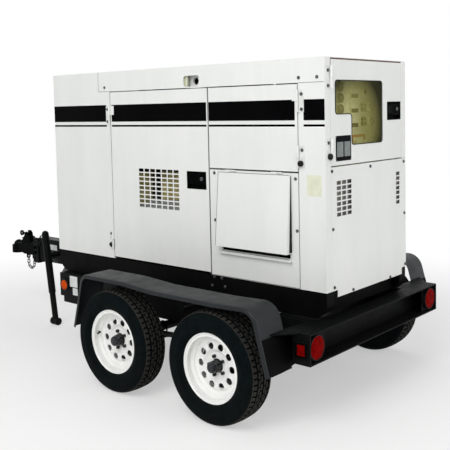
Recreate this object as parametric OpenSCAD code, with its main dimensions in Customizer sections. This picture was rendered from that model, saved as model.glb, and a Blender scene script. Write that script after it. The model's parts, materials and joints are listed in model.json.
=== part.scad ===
// Towable diesel generator: a soundproof generator set on a tandem-axle trailer.
// +X points to the hitch, +Y to the left, +Z up. The origin is on the ground under the middle.

/* [Cabinet] */
// Length of the cabinet
cab_l = 2506; // [2400:1:2700]
// Width of the cabinet
cab_w = 946; // [900:1:1000]
// Height of the cabinet above its base
cab_h = 1356; // [1300:1:1450]
// Thickness of the sheet panels
sheet = 3; // [2:0.5:5]
// Depth of the folded edges of doors
fold = 25; // [18:1:35]
// Gap round doors and covers
door_gap = 4; // [3:0.5:8]
// Height of the roof's side strips
strip_h = 141; // [110:1:160]
// Length of the roof's main sheet
roof_l = 1970; // [1900:1:2050]
// Width of the rear corner posts on the side
rear_post_w = 185; // [150:1:220]
// Width of the rear corner posts on the rear face
rear_post_face = 56; // [45:1:75]
// Width of the rear side doors
rear_door_w = 708; // [660:1:740]
// Width of the front side doors
front_door_w = 955; // [900:1:1000]
// Height of the terminal panel
terminal_h = 690; // [640:1:720]
// Height of the lower rear panel
rear_panel_h = 767; // [700:1:800]
// How far the lower rear panel hangs below the cabinet
rear_panel_drop = 43; // [0:1:60]

/* [Vents] */
// Width of a vent slot
slot_w = 48; // [30:1:52]
// Height of a vent slot
slot_h = 23; // [12:1:26]
// Spacing of vent slots along the wall
slot_pitch_w = 57; // [52:1:70]
// Spacing of vent slots upwards
slot_pitch_h = 31; // [26:1:36]

/* [Control window] */
// Room between the window and the latch pan
win_room = 64; // [40:1:120]
// Height of the window
win_h = 380; // [340:1:420]
// Width of the corner left out of the window
win_notch_w = 176; // [120:1:220]
// Height of the corner left out of the window
win_notch_h = 184; // [120:1:220]
// Corner radius of the window
win_r = 22; // [10:1:40]
// Thickness of the window pane
pane_t = 4; // [3:0.5:6]

/* [Hinges] */
// Height of a door hinge
hinge_h = 130; // [90:1:160]
// Radius of a hinge pin
pin_r = 5; // [4:0.5:6]
// Radius of a hinge knuckle
knuckle_r = 8; // [7.5:0.5:10]
// Width of a hinge leaf
leaf_w = 42; // [30:1:55]
// Thickness of a hinge leaf
leaf_t = 3; // [2:0.5:5]
// Radial running clearance of pins and shafts
fit = 0.05; // [0.02:0.01:0.1]

/* [Latches] */
// Width of a latch pan
latch_w = 172; // [140:1:185]
// Height of a latch pan
latch_h = 116; // [100:1:130]
// Depth of a latch pan
latch_d = 24; // [22:1:24]
// Wall of a latch pan
latch_wall = 4; // [3:0.5:6]
// Radius of a paddle's pivot pin
latch_pin_r = 4; // [3:0.5:5]

/* [Terminal cover] */
// Width of the terminal cover
cover_w = 562; // [520:1:600]
// Height of the terminal cover
cover_h = 470; // [420:1:490]
// How far the cover stands out at its lower edge
cover_d = 58; // [40:1:80]

/* [Trailer frame] */
// Height of the deck above the ground
deck_z = 588; // [580:1:610]
// Height of the frame rails
rail_h = 178; // [168:1:182]
// Flange width of the frame rails
rail_flange = 60; // [50:1:70]
// Wall of the frame channels
rail_wall = 8; // [6:0.5:10]
// Width over the frame rails
frame_w = 1100; // [1060:1:1140]
// Length of the frame rails
rail_l = 2370; // [2330:1:2400]
// How far the bumper reaches behind the cabinet
bumper_reach = 78; // [60:1:100]
// Depth of the bumper
bumper_d = 118; // [105:1:135]
// Width of the bumper
bumper_w = 1520; // [1480:1:1560]
// Height of the skid base
skid_h = 162; // [150:1:180]
// Width of a skid runner
runner_w = 75; // [60:1:90]
// Radius of a skid runner's toe
toe_r = 100; // [60:1:130]

/* [Tongue] */
// How far the hitch reaches ahead of the cabinet
tongue_reach = 1326; // [1250:1:1400]
// Height of the tongue beam
tongue_h = 203; // [190:1:215]
// Width of the tongue beam
tongue_w = 102; // [90:1:110]
// Wall of the tongue beam
tongue_wall = 8; // [6:0.5:10]
// Height of the tongue's underside above the ground
tongue_z = 490; // [475:1:505]
// Length of the coupler head
coupler_l = 384; // [370:1:400]
// Radius of the hitch ball socket
ball_r = 30; // [25:0.5:32]

/* [Jack] */
// Distance of the jack from the middle of the trailer
jack_y = 200; // [190:1:220]
// Height of the jack's pivot
jack_z = 590; // [575:1:605]
// Lean of the jack when it stands
jack_lean = 8; // [0:1:10]
// Radius of the jack's tube
jack_tube_r = 30; // [28:0.5:33]
// Radius of the jack's leg
jack_leg_r = 25; // [22:0.5:26]
// Radius of the jack's pivot
jack_pivot_r = 28; // [22:0.5:30]
// Radius of the foot's pads
foot_r = 32; // [28:1:36]

/* [Wheels] */
// Radius of the tyre
tyre_r = 336; // [330:1:342]
// Width of the tyre
tyre_w = 196; // [185:1:205]
// Radius of the rim's flange
rim_r = 208; // [204:1:214]
// Width of the rim
rim_w = 152; // [142:1:158]
// Distance between the middle planes of left and right tyres
track = 1748; // [1730:1:1760]
// Distance between the axles
axle_gap = 847; // [840:1:870]
// Distance of the middle of the axles from the cabinet's rear face
axle_mid = 916; // [900:1:930]
// Radius of the bolt circle
lug_circle_r = 57.15; // [55:0.05:62]
// Radius of the rim's hand holes
hand_hole_r = 21; // [15:0.5:24]
// Radius of the wheel spindle
spindle_r = 17; // [15:0.5:20]
// Radius of the axle tube
axle_r = 30; // [26:0.5:34]

/* [Fenders] */
// Width of a fender
fender_w = 216; // [212:1:222]
// Room between a fender's front crown and the doors above it
fender_room = 14; // [10:1:30]
// Drop of a fender's middle below the front crown
fender_dip = 19; // [0:1:30]
// Height of a fender's lower edges
fender_low = 378; // [350:1:420]
// Thickness of the fender's sheet
fender_t = 3; // [2:0.5:4]
// Depth of the fender's outer lip
fender_lip = 24; // [15:1:30]

/* [Lamps] */
// Radius of a tail lamp
lamp_r = 70; // [55:1:72]
// Radius of an amber marker
marker_r = 36; // [28:1:42]

/* [Hidden] */
$fn = 48;
// A small overlap for cutting through
eps = 1;

// Main planes
overall_l = bumper_reach + cab_l + tongue_reach;
cab_rear = bumper_reach - overall_l / 2;
cab_front = cab_rear + cab_l;
cab_y = cab_w / 2;
cab_bot = deck_z + skid_h;
cab_top = cab_bot + cab_h;
door_bot = cab_bot + 12;
nose_x = overall_l / 2;
// Pillars stand behind the doors' folds and latch pans
pillar_y = cab_y - max(fold, latch_d) - 1;
skid_x = [cab_rear + sheet, cab_front - 1];

// Frame
rail_x0 = cab_rear - bumper_reach + bumper_d;
rail_x1 = rail_x0 + rail_l;
rail_z0 = deck_z - rail_h;
rail_y = frame_w / 2;
cross_w = 60;
cross_rear = 230;
cross_front = 700;
bumper_x0 = cab_rear - bumper_reach;
bumper_wall = 8;
lamp_y = bumper_w / 2 - bumper_wall - lamp_r - 2;
lamp_z = deck_z - rail_h / 2;
lens_t = 12;
lamp_body_t = 16;

// Axles and wheels
axle_x = [for (s = [1, -1]) cab_rear + axle_mid + s * axle_gap / 2];
wheel_y = track / 2;
bead_r = rim_r - 18;
rim_t = 5;
disc_y = 8;
disc_t = 5;
centre_bore_r = 42;
spring_w = 45;
spring_y = rail_y - rail_flange / 2;
spring_half = 328;
spring_r = 1050;
leaf = 8;
spring_top = tyre_r - axle_r;
eye_z = spring_top + spring_r - sqrt(spring_r * spring_r - spring_half * spring_half);
eye_r = 16;
hanger_t = 6;
hanger_bolt_r = 8;
seat_gap = 0.4;

// Fender: the outline follows two round shoulders with sloping drops
fender_y0 = wheel_y + tyre_w / 2 - 4 - fender_w;
fender_y1 = fender_y0 + fender_w;
fender_top = door_bot - fender_room;
fender_slope = 15.5;
fender_r_front = 70;
fender_r_rear = 110;
fender_rear_top = fender_top - 11;
fender_front_room = 46.5;
fender_rear_room = 106.5;
fender_x_front = axle_x[0] + tyre_r + fender_front_room;
fender_x_rear = axle_x[1] - tyre_r - fender_rear_room;

// Tongue
tongue_x0 = cab_front + 19;
channel_d = 70;
channel_w = 128;
channel_over = 24;
tongue_x1 = nose_x - coupler_l - channel_d;
brace_end = tongue_x0 + 365;
brace_w = 50;
brace_h = 110;
gusset_t = 8;

// Coupler
head_z = tongue_z + 86;
dome_r = 62;
ear_x = nose_x - 225;
ear_z = head_z + 128;
ear_pin_r = 7;
lug_x = [nose_x - 300, nose_x - 210];
chain_z = head_z - 84;
wire_r = 3.5;
link_l = 44;
link_w = 32;
link_pitch = link_l - 4 * wire_r - 0.8;
link_end = link_l / 2 - wire_r;
chain_r = (lug_x[1] - lug_x[0]) / 2;
chain_drop = 2 * link_pitch - 2;

// Jack, in its own frame: the pivot is the origin and the tube runs upwards
jack_x = tongue_x0 + 520;
jack_top = 188;
jack_low = -318;
leg_top = -110;
collar_l = 40;
leg_gap = 0.3;
foot_drop = (jack_z - foot_r) / cos(jack_lean);

// Doors
split_x = cab_rear + rear_post_w + rear_door_w;
front_edge = split_x + front_door_w;
door_top = cab_top - strip_h - door_gap;
terminal_top = cab_bot + terminal_h;
rear_door_x = [cab_rear + rear_post_w + door_gap / 2, split_x - door_gap / 2];
front_door_x = [split_x + door_gap / 2, front_edge - door_gap / 2];
lift_z = cab_top - strip_h + 43;
axis_out = knuckle_r + leaf_t - 1;
side_hinge_y = cab_y + axis_out;
front_hinge_x = front_edge;
rear_hinge_x = cab_rear + rear_post_w;
front_hinge_z = [cab_bot + 75, door_top - 100 - hinge_h];
left_rear_hinge_z = [terminal_top + 30, door_top - 36 - hinge_h];
latch_x = split_x + 28 + latch_w / 2;
latch_z = cab_bot + 610;
right_latch_x = split_x - 28 - latch_w / 2;

// Rear face
rear_panel_z = [cab_bot - rear_panel_drop, cab_bot - rear_panel_drop + rear_panel_h];
control_y = cab_y - rear_post_face - door_gap / 2;
control_z = [rear_panel_z[1] + door_gap, cab_top - sheet - 2];
control_hinge_y = control_y + door_gap / 2;
control_hinge_x = cab_rear - axis_out;
control_hinge_z = [control_z[0] + 34, control_z[1] - 46 - hinge_h];
control_latch_y = 10 - control_y + latch_w / 2;
control_latch_z = control_z[0] + 310;
win_y1 = control_y - 50;
win_z1 = control_z[1] - 126;
win_w = win_y1 - control_latch_y - latch_w / 2 - win_room;
pane_margin = 12;

// Terminal cover
cover_x = [cab_rear + rear_post_w + 57, cab_rear + rear_post_w + 57 + cover_w];
cover_top = terminal_top - 13;
cover_axis_y = cab_y + 9;
cover_axis_z = cover_top + 8;
cover_pin_r = 3;
cover_knuckle_r = 6;
cover_knuckle_l = 40;
cover_bot = cover_top - cover_h;
cable_slot_z = cover_bot - 32;
sill_z = [cable_slot_z - 21, cable_slot_z - 5];

// Machinery, in a row from the rear to the front
crank_h = 350;
crank_z = cab_bot + crank_h;
alternator_room = 430;
alternator_l = 530;
alternator_r = 255;
alternator_box_w = 380;
alternator_box_h = 340;
alternator_x = [cab_rear + alternator_room, cab_rear + alternator_room + alternator_l];
bell_l = 120;
engine_l = 620;
engine_w = 380;
block_h = 300;
flange_h = 388;
engine_x = [alternator_x[1] + bell_l, alternator_x[1] + bell_l + engine_l];
manifold_y = engine_w / 2 + 24;
flange_z = crank_z + flange_h;
exhaust_x = engine_x[0] + 160;
intake_x = engine_x[0] + 320;
bed_y = cab_y - 223;
bed_w = 60;
bed_h = 80;
fan_room = 200;
fan_x = engine_x[1] + fan_room;
fan_z = crank_z + 150;
fan_r = 300;
fan_hub_l = 50;
fan_shaft_r = 15;
radiator_room = 120;
radiator_x = fan_x + radiator_room;
bed_x = [alternator_x[0] - 80, radiator_x - 60];
tank_room_rear = 320;
tank_room_front = 420;
tank_x = [cab_rear + tank_room_rear, cab_front - tank_room_front];
muffler_x = engine_x[0] - 40;
muffler_l = 640;
muffler_r = 110;
pipe_r = 38;
pipe_wall = 3;
cleaner_l = 430;
cleaner_r = 105;
cleaner_cap_l = 40;
cleaner_cap_r = 88;
panel_x = cab_rear + 130;
breaker_y = -90;
breaker_z = control_z[0] + 80;
breaker_pin_r = 4;

// Box between pairs of limits
module slab(x, y, z) {
    translate([x[0], y[0], z[0]]) cube([x[1] - x[0], y[1] - y[0], z[1] - z[0]]);
}

// Children on both sides of the trailer
module both_sides() {
    children();
    mirror([0, 1, 0]) children();
}

// Rod along X, Y or Z from a point
module rod_x(p, r, l) { translate(p) rotate([0, 90, 0]) cylinder(r = r, h = l); }
module rod_y(p, r, l) { translate(p) rotate([-90, 0, 0]) cylinder(r = r, h = l); }
module rod_z(p, r, l) { translate(p) cylinder(r = r, h = l); }

// Outline in X and Z, extruded along Y from y0
module side_plate(y0, t) {
    translate([0, y0 + t, 0]) rotate([90, 0, 0]) linear_extrude(t) children();
}

// Rectangle with round corners, from limits
module round_rect(x, y, r) {
    translate([x[0] + r, y[0]]) square([x[1] - x[0] - 2 * r, y[1] - y[0]]);
    translate([x[0], y[0] + r]) square([x[1] - x[0], y[1] - y[0] - 2 * r]);
    for (a = [x[0] + r, x[1] - r], b = [y[0] + r, y[1] - r]) translate([a, b]) circle(r = r);
}

// Points of an arc
function arc(c, r, a0, a1, n) = [for (i = [0 : n]) let (a = a0 + (a1 - a0) * i / n) c + r * [cos(a), sin(a)]];

// Frame

module channel_rail() {
    slab([rail_x0, rail_x1], [rail_y - rail_wall, rail_y], [rail_z0, deck_z]);
    for (z = [rail_z0, deck_z - rail_wall])
        slab([rail_x0, rail_x1], [rail_y - rail_flange, rail_y], [z, z + rail_wall]);
    // Lower corner plate under the marker
    slab([rail_x1 - 215, rail_x1 - 40], [rail_y - rail_wall, rail_y], [rail_z0 - 45, rail_z0]);
}

module left_rail() { color("#1b1d20") channel_rail(); }

module right_rail() { color("#1b1d20") mirror([0, 1, 0]) channel_rail(); }

module crossmembers() {
    color("#1b1d20") {
        cross_channel(rail_x0 + cross_rear);
        cross_channel(cab_rear + axle_mid - cross_w / 2);
        cross_channel(rail_x1 - cross_front);
        cross_channel(rail_x1 - cross_w);
        both_sides() {
            fender_bracket(cab_rear + axle_mid - 400, fender_top - fender_dip - fender_t);
            fender_bracket(cab_rear + axle_mid, fender_top - fender_dip - fender_t);
            fender_bracket(fender_x_front - 240, fender_top - fender_t);
        }
    }
}

// Channel between the rails' webs, open to the rear, with a cap that the skid base stands on
module cross_channel(x) {
    y = rail_y - rail_wall;
    cap_y = rail_y - rail_flange;
    z = [rail_z0 + rail_wall, deck_z - rail_wall];
    slab([x + cross_w - rail_wall, x + cross_w], [-y, y], z);
    for (b = [z[0], z[1] - rail_wall]) slab([x, x + cross_w], [-y, y], [b, b + rail_wall]);
    slab([x, x + cross_w], [-cap_y, cap_y], [z[1], deck_z]);
}

// Arm from a rail to a tab under the fender's sheet
module fender_bracket(x, top) {
    slab([x - 20, x + 20], [rail_y, fender_y0], [deck_z - 34, deck_z - 6]);
    slab([x - 30, x + 30], [fender_y0 - 6, fender_y0], [deck_z - 34, top]);
    slab([x - 30, x + 30], [fender_y0 - 6, fender_y0 + 50], [top - 6, top]);
}

module rear_bumper() {
    y = bumper_w / 2;
    color("#1b1d20") {
        slab([rail_x0 - bumper_wall, rail_x0], [-y, y], [rail_z0, deck_z]);
        for (z = [rail_z0, deck_z - bumper_wall])
            slab([bumper_x0, rail_x0], [-y, y], [z, z + bumper_wall]);
        both_sides() {
            slab([bumper_x0, rail_x0], [y - bumper_wall, y], [rail_z0, deck_z]);
            // Plate that carries the tail lamp
            slab([bumper_x0 + lens_t + lamp_body_t, bumper_x0 + lens_t + lamp_body_t + 6],
                [lamp_y - lamp_r - 12, y - bumper_wall], [rail_z0 + bumper_wall, deck_z - bumper_wall]);
            // Deck wing from the bumper to the fender
            translate([0, 0, deck_z - bumper_wall]) linear_extrude(bumper_wall)
                polygon([[rail_x0, rail_y], [rail_x0 - 40, y], [wing_x(), fender_y1 - 90],
                    [wing_x(), rail_y]]);
        }
    }
}

// Where the fender's rear drop meets the deck wing
function wing_x() = fender_x_rear + tan(fender_slope) * (deck_z - bumper_wall - fender_low) - 0.5;

module left_brace() {
    color("#1b1d20") {
        tongue_brace();
        jack_pivot();
    }
}

module right_brace() { color("#1b1d20") mirror([0, 1, 0]) tongue_brace(); }

// Sloping brace with the gusset plate that holds the tongue's side
module tongue_brace() {
    y0 = tongue_w / 2;
    start = [rail_x1, rail_y - rail_wall - 36];
    run = [brace_end - 20, y0 + gusset_t + 4] - start;
    difference() {
        translate([start[0], start[1], deck_z - brace_h - rail_wall]) rotate([0, 0, atan2(run[1], run[0])])
            translate([-60, -brace_w / 2, 0]) cube([norm(run) + 120, brace_w, brace_h]);
        // Ends cut flush with the front crossmember and the tongue's side
        slab([rail_x1 - 200, rail_x1], [0, rail_y + 100], [0, deck_z + 50]);
        slab([rail_x1 - 200, nose_x], [-200, y0], [0, deck_z + 50]);
    }
    side_plate(tongue_w / 2, gusset_t) polygon([
        [rail_x1, rail_z0 + rail_wall], [rail_x1, deck_z - rail_wall], [tongue_x0 - 8, deck_z - rail_wall],
        [tongue_x0 + 25, tongue_z + tongue_h], [brace_end - 120, tongue_z + tongue_h],
        [brace_end, tongue_z + 110], [brace_end, tongue_z], [rail_x1 + 200, rail_z0 + rail_wall]
    ]);
}

// Pin on the tongue's side that the jack's collar turns on
module jack_pivot() {
    y0 = tongue_w / 2;
    y1 = jack_y - jack_tube_r - 6;
    rod_y([jack_x, y0, jack_z], jack_pivot_r, y1 - y0);
    slab([jack_x - 60, jack_x + 60], [y0, y0 + gusset_t], [jack_z - 75, jack_z + 75]);
    slab([brace_end - 1, jack_x], [y0, y0 + gusset_t], [jack_z - 75, jack_z + 10]);
}

module tongue_beam() {
    color("#1b1d20") {
        difference() {
            slab([tongue_x0, tongue_x1], [-tongue_w / 2, tongue_w / 2], [tongue_z, tongue_z + tongue_h]);
            slab([tongue_x0 - eps, tongue_x1 + eps], [tongue_wall - tongue_w / 2, tongue_w / 2 - tongue_wall],
                [tongue_z + tongue_wall, tongue_z + tongue_h - tongue_wall]);
        }
        coupler_channel();
    }
}

// Upright channel on the tongue's end, with rows of holes to set the coupler's height
module coupler_channel() {
    z = [tongue_z - channel_over, tongue_z + tongue_h];
    x1 = tongue_x1 + channel_d;
    inside = channel_w / 2 - 14;
    difference() {
        slab([tongue_x1, x1], [-channel_w / 2, channel_w / 2], z);
        slab([tongue_x1 + tongue_wall, x1 + eps], [-inside, inside], [z[0] - eps, z[1] + eps]);
        for (i = [0 : 3])
            rod_y([x1 - 24, -channel_w, z[0] + 42 + i * 48], 9, 2 * channel_w);
    }
}

// Tandem fender: band of sheet, with a lip along the outer edge

function fender_line(d) = concat(
    [[fender_x_front - d, fender_low]],
    arc(fender_centre_front(), fender_r_front - d, fender_slope, 90, 6),
    [[cab_rear + axle_mid + 284, fender_top - d], [cab_rear + axle_mid + 40, fender_top - fender_dip - d],
        [cab_rear + axle_mid - 460, fender_top - fender_dip - d]],
    arc(fender_centre_rear(), fender_r_rear - d, 90, 180 - fender_slope, 7),
    [[fender_x_rear + d, fender_low]]
);

function fender_centre_front() =
    let (z = fender_top - fender_r_front, t = z + fender_r_front * sin(fender_slope))
    [fender_x_front - tan(fender_slope) * (t - fender_low) - fender_r_front * cos(fender_slope), z];

function fender_centre_rear() =
    let (z = fender_rear_top - fender_r_rear, t = z + fender_r_rear * sin(fender_slope))
    [fender_x_rear + tan(fender_slope) * (t - fender_low) + fender_r_rear * cos(fender_slope), z];

function reverse(v) = [for (i = [len(v) - 1 : -1 : 0]) v[i]];

module fender_band(d) { polygon(concat(fender_line(0), reverse(fender_line(d)))); }

module fender() {
    side_plate(fender_y0, fender_w) fender_band(fender_t);
    side_plate(fender_y1 - fender_t, fender_t) fender_band(fender_lip);
}

module left_fender() { color("#23262a") fender(); }

module right_fender() { color("#23262a") mirror([0, 1, 0]) fender(); }

// Running gear

module axle_beams() {
    color("#202225") for (x = axle_x) {
        rod_y([x, -wheel_y + 110, tyre_r], axle_r, track - 220);
        rod_y([x, -wheel_y - 26, tyre_r], spindle_r, track + 52);
        both_sides() {
            // Brake backing plate
            rod_y([x, wheel_y - 96, tyre_r], 128, 8);
            spring_clamp(x);
        }
    }
}

// Two U-bolts over the axle and a plate under the spring
module spring_clamp(x) {
    low = spring_top - 3 * leaf;
    half = spring_w / 2 + 6;
    bend = axle_r + 4.5;
    slab([x - 50, x + 50], [spring_y - half - 8, spring_y + half + 8], [low - 12, low]);
    for (y = [spring_y - half, spring_y + half]) {
        for (s = [-1, 1]) rod_z([x + s * bend, y, low - 20], 5, tyre_r - low + 20);
        translate([x, y, tyre_r]) rotate([90, 0, 0])
            rotate_extrude(angle = 180) translate([bend, 0]) circle(r = 5);
    }
}

// Leaves hang under the axle, with an eye at the outer end and a plain end at the equalizer
module leaf_springs() {
    color("#26282b") both_sides() {
        spring(axle_x[0], 1);
        spring(axle_x[1], -1);
    }
}

module spring(x, outer) {
    c = [x, spring_top + spring_r];
    difference() {
        union() {
            side_plate(spring_y - spring_w / 2, spring_w) {
                leaf_arc(c, spring_r, spring_half);
                leaf_arc(c, spring_r + leaf, 220);
                leaf_arc(c, spring_r + 2 * leaf, 130);
            }
            rod_y([x + outer * spring_half, spring_y - spring_w / 2, eye_z], eye_r, spring_w);
        }
        rod_y([x + outer * spring_half, spring_y - spring_w, eye_z], hanger_bolt_r + seat_gap, 2 * spring_w);
    }
}

// Leaf of a given half length, as a slice of a ring
module leaf_arc(c, r, half) {
    intersection() {
        difference() {
            translate(c) circle(r = r + leaf, $fn = 200);
            translate(c) circle(r = r, $fn = 200);
        }
        translate([c[0] - half, c[1] - r - leaf - eps]) square([2 * half, 200]);
    }
}

module spring_hangers() {
    color("#202225") both_sides() {
        hanger(axle_x[0] + spring_half, eye_z);
        hanger(axle_x[1] - spring_half, eye_z);
        hanger(cab_rear + axle_mid, eye_z + 26);
        equalizer();
    }
}

// Two cheeks under the rail with a bolt between them
module hanger(x, z) {
    for (s = [-1, 1])
        slab([x - 28, x + 28], [spring_y + s * (spring_w / 2 + 1 + hanger_t / 2) - hanger_t / 2,
            spring_y + s * (spring_w / 2 + 1 + hanger_t / 2) + hanger_t / 2], [z - 24, rail_z0]);
    rod_y([x, spring_y - spring_w / 2 - 10, z], hanger_bolt_r, spring_w + 20);
}

// Rocker that shares the load between the springs
module equalizer() {
    x = cab_rear + axle_mid;
    reach = axle_gap / 2 - spring_half + 22;
    difference() {
        side_plate(spring_y - spring_w / 2, spring_w)
            polygon([[x - reach, eye_z], [x - reach, eye_z + 14], [x - 40, eye_z + 40], [x + 40, eye_z + 40],
                [x + reach, eye_z + 14], [x + reach, eye_z]]);
        rod_y([x, spring_y - spring_w, eye_z + 26], hanger_bolt_r + seat_gap, 2 * spring_w);
    }
}

// Wheel pieces lie at the origin, with +Y outwards

module wheel_at(i, side) {
    translate([axle_x[i], side * wheel_y, tyre_r]) mirror([0, side < 0 ? 1 : 0, 0]) children();
}

// Ring of a profile of [radius, place along the axle]
module turned(profile) { rotate([-90, 0, 0]) rotate_extrude($fn = 96) polygon(profile); }

module tyre() {
    w = tyre_w / 2;
    bead = rim_w / 2 - 10;
    tread = [for (y = [48, 0, -48]) let (r = tyre_r - abs(y) / 24)
        each [[r, y + 5], [tyre_r - 9, y + 4], [tyre_r - 9, y - 4], [r, y - 5]]];
    side = [[bead_r, bead], [bead_r + 12, bead + 2], [bead_r + 34, w - 8], [bead_r + 66, w],
        [tyre_r - 40, w - 3], [tyre_r - 16, w - 12], [tyre_r - 5, w - 25]];
    // Inside of the carcass, from bead to crown
    lining = [[bead_r, bead - 16], [bead_r + 30, w - 22], [bead_r + 66, w - 11], [tyre_r - 40, w - 16],
        [tyre_r - 21, w - 36]];
    half = concat(side, tread);
    color("#17191b")
        turned(concat(half, other_side(reverse(side)), other_side(lining), reverse(lining)));
}

function other_side(profile) = [for (p = profile) [p[0], -p[1]]];

module rim() {
    w = rim_w / 2;
    seat = w - 10;
    outer = [[rim_r, w], [rim_r, w - 5], [rim_r - 5, seat], [bead_r, seat], [bead_r, 40], [bead_r - 18, 28]];
    inner = [for (p = outer) [p[0] - rim_t, p[1] == seat || p[1] == w - 5 ? p[1] + rim_t : p[1]]];
    well = bead_r - 18 - rim_t;
    color("#eceae2") difference() {
        union() {
            turned(concat(outer, [for (p = reverse(outer)) [p[0], -p[1]]],
                [for (p = inner) [p[0], -p[1]]], reverse(inner)));
            turned([[well + 1, 22], [150, 12], [136, 20], [102, 22], [80, disc_y], [centre_bore_r, disc_y],
                [centre_bore_r, disc_y - disc_t], [82, disc_y - disc_t], [104, 17], [134, 15],
                [150, 6], [well + 1, 15]]);
        }
        for (a = [0 : 36 : 324]) rotate([0, a, 0]) rod_y([120, -rim_w, 0], hand_hole_r, 2 * rim_w);
        for (a = [0 : 72 : 288]) rotate([0, a, 0]) rod_y([lug_circle_r, -rim_w, 0], 8, 2 * rim_w);
    }
}

// Hub with brake drum, studs, nuts and grease cap
module hub() {
    back = disc_y - disc_t;
    color("#141516") difference() {
        union() {
            turned([[0, -70], [44, -70], [44, -22], [125, -22], [125, -80], [136, -80], [136, -12], [74, -12],
                [74, back], [36, back], [36, 40], [33, 40], [33, 46], [26, 52], [0, 52]]);
            for (a = [0 : 72 : 288]) rotate([0, a, 0]) {
                rod_y([lug_circle_r, -2, 0], 6, disc_y + 22);
                translate([lug_circle_r, disc_y, 0]) rotate([-90, 0, 0]) cylinder(r = 11, h = 16, $fn = 6);
            }
        }
        rod_y([0, -120, 0], spindle_r + fit, 148);
    }
}

module front_left_tyre() { wheel_at(0, 1) tyre(); }
module front_left_rim() { wheel_at(0, 1) rim(); }
module front_left_hub() { wheel_at(0, 1) hub(); }
module rear_left_tyre() { wheel_at(1, 1) tyre(); }
module rear_left_rim() { wheel_at(1, 1) rim(); }
module rear_left_hub() { wheel_at(1, 1) hub(); }
module front_right_tyre() { wheel_at(0, -1) tyre(); }
module front_right_rim() { wheel_at(0, -1) rim(); }
module front_right_hub() { wheel_at(0, -1) hub(); }
module rear_right_tyre() { wheel_at(1, -1) tyre(); }
module rear_right_rim() { wheel_at(1, -1) rim(); }
module rear_right_hub() { wheel_at(1, -1) hub(); }

// Coupler head: tang in the channel, dome over the ball, ears for the latch and lugs for the chain
module coupler_head() {
    face = tongue_x1 + tongue_wall + seat_gap;
    half = channel_w / 2 - 14 - seat_gap;
    color("#1f2124") difference() {
        union() {
            slab([face, nose_x - 200], [-half, half], [head_z - 52, head_z + 58]);
            slab([nose_x - 200, nose_x - dome_r], [-44, 44], [head_z - 46, head_z + 40]);
            rod_z([nose_x - dome_r, 0, head_z - 56], dome_r, 70);
            translate([nose_x - dome_r, 0, head_z + 14]) scale(1) sphere(r = 46);
            for (s = [-1, 1]) side_plate(s * 24 - 4, 8) ear_outline();
            for (x = lug_x) chain_lug(x);
            for (i = [1, 2]) coupler_bolt(tongue_z - channel_over + 42 + i * 48);
        }
        translate([nose_x - dome_r, 0, head_z - 24]) sphere(r = ball_r);
        rod_z([nose_x - dome_r, 0, head_z - 57], ball_r, 33);
        rod_y([ear_x, -60, ear_z], ear_pin_r + fit, 120);
    }
}

module ear_outline() {
    translate([ear_x, ear_z]) circle(r = 22);
    polygon([[ear_x - 62, head_z + 20], [ear_x + 92, head_z + 20], [ear_x + 80, head_z + 56],
        [ear_x + 20, ear_z], [ear_x - 20, ear_z], [ear_x - 48, head_z + 80]]);
}

// Plate across the trailer with a hole along it for the chain
module chain_lug(x) {
    difference() {
        union() {
            slab([x - 5, x + 5], [-18, 18], [chain_z, head_z - 40]);
            rod_x([x - 5, 0, chain_z], 18, 10);
        }
        rod_x([x - 10, 0, chain_z], 10, 20);
    }
}

// Bolt through the channel's flanges, with a head and a nut outside them
module coupler_bolt(z) {
    y = channel_w / 2;
    x = tongue_x1 + channel_d - 24;
    rod_y([x, -y - 18, z], 8.6, 2 * y + 36);
    for (b = [-y - 12, y]) translate([x, b, z]) rotate([-90, 0, 0]) cylinder(r = 15, h = 12, $fn = 6);
}

// Lever between the ears, with a loop to lift it by
module coupler_latch() {
    color("#1f2124") difference() {
        union() {
            rod_y([ear_x, -40, ear_z], ear_pin_r, 80);
            rod_y([ear_x, -19, ear_z], 15, 38);
            slab([ear_x, ear_x + 96], [-9, 9], [ear_z - 9, ear_z + 7]);
            slab([ear_x - 34, ear_x], [-9, 9], [ear_z, ear_z + 34]);
            rod_y([ear_x + 106, -7, ear_z], 24, 14);
        }
        rod_y([ear_x + 106, -20, ear_z], 14, 40);
    }
}

// Chain hung between the two lugs: straight sides and a round bend, with links turned in pairs

function chain_length() = 2 * chain_drop + PI * chain_r;

function chain_point(s) =
    s < chain_drop ? [-chain_r, -s, 0]
    : s > chain_length() - chain_drop ? [chain_r, s - chain_length(), 180]
    : let (a = (s - chain_drop) / chain_r * 180 / PI)
        [-chain_r * cos(a), -chain_drop - chain_r * sin(a), a];

module safety_chain() {
    // The end links hang in the lugs, and both lie along the chain's plane
    run = chain_length() - 2 * link_end;
    n = 2 * ceil(run / link_pitch / 2);
    color("#2a2c2e") for (i = [0 : n]) {
        p = chain_point(link_end + i * run / n);
        translate([(lug_x[0] + lug_x[1]) / 2 + p[0], 0, chain_z + p[1]]) rotate([0, p[2] * -1, 0])
            rotate([0, 0, i % 2 == 0 ? 0 : 90]) link();
    }
}

// One link along Z, with its flat side across Y
module link() {
    bend = link_w / 2 - wire_r;
    run = link_l - link_w;
    for (s = [-1, 1]) {
        translate([s * bend, 0, -run / 2]) cylinder(r = wire_r, h = run);
        translate([0, 0, s * run / 2]) rotate([90, 0, 0]) rotate([0, 0, s > 0 ? 0 : 180])
            rotate_extrude(angle = 180) translate([bend, 0]) circle(r = wire_r);
    }
}

// Jack

module jack_frame() { translate([jack_x, jack_y, jack_z]) rotate([0, jack_lean, 0]) children(); }

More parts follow.
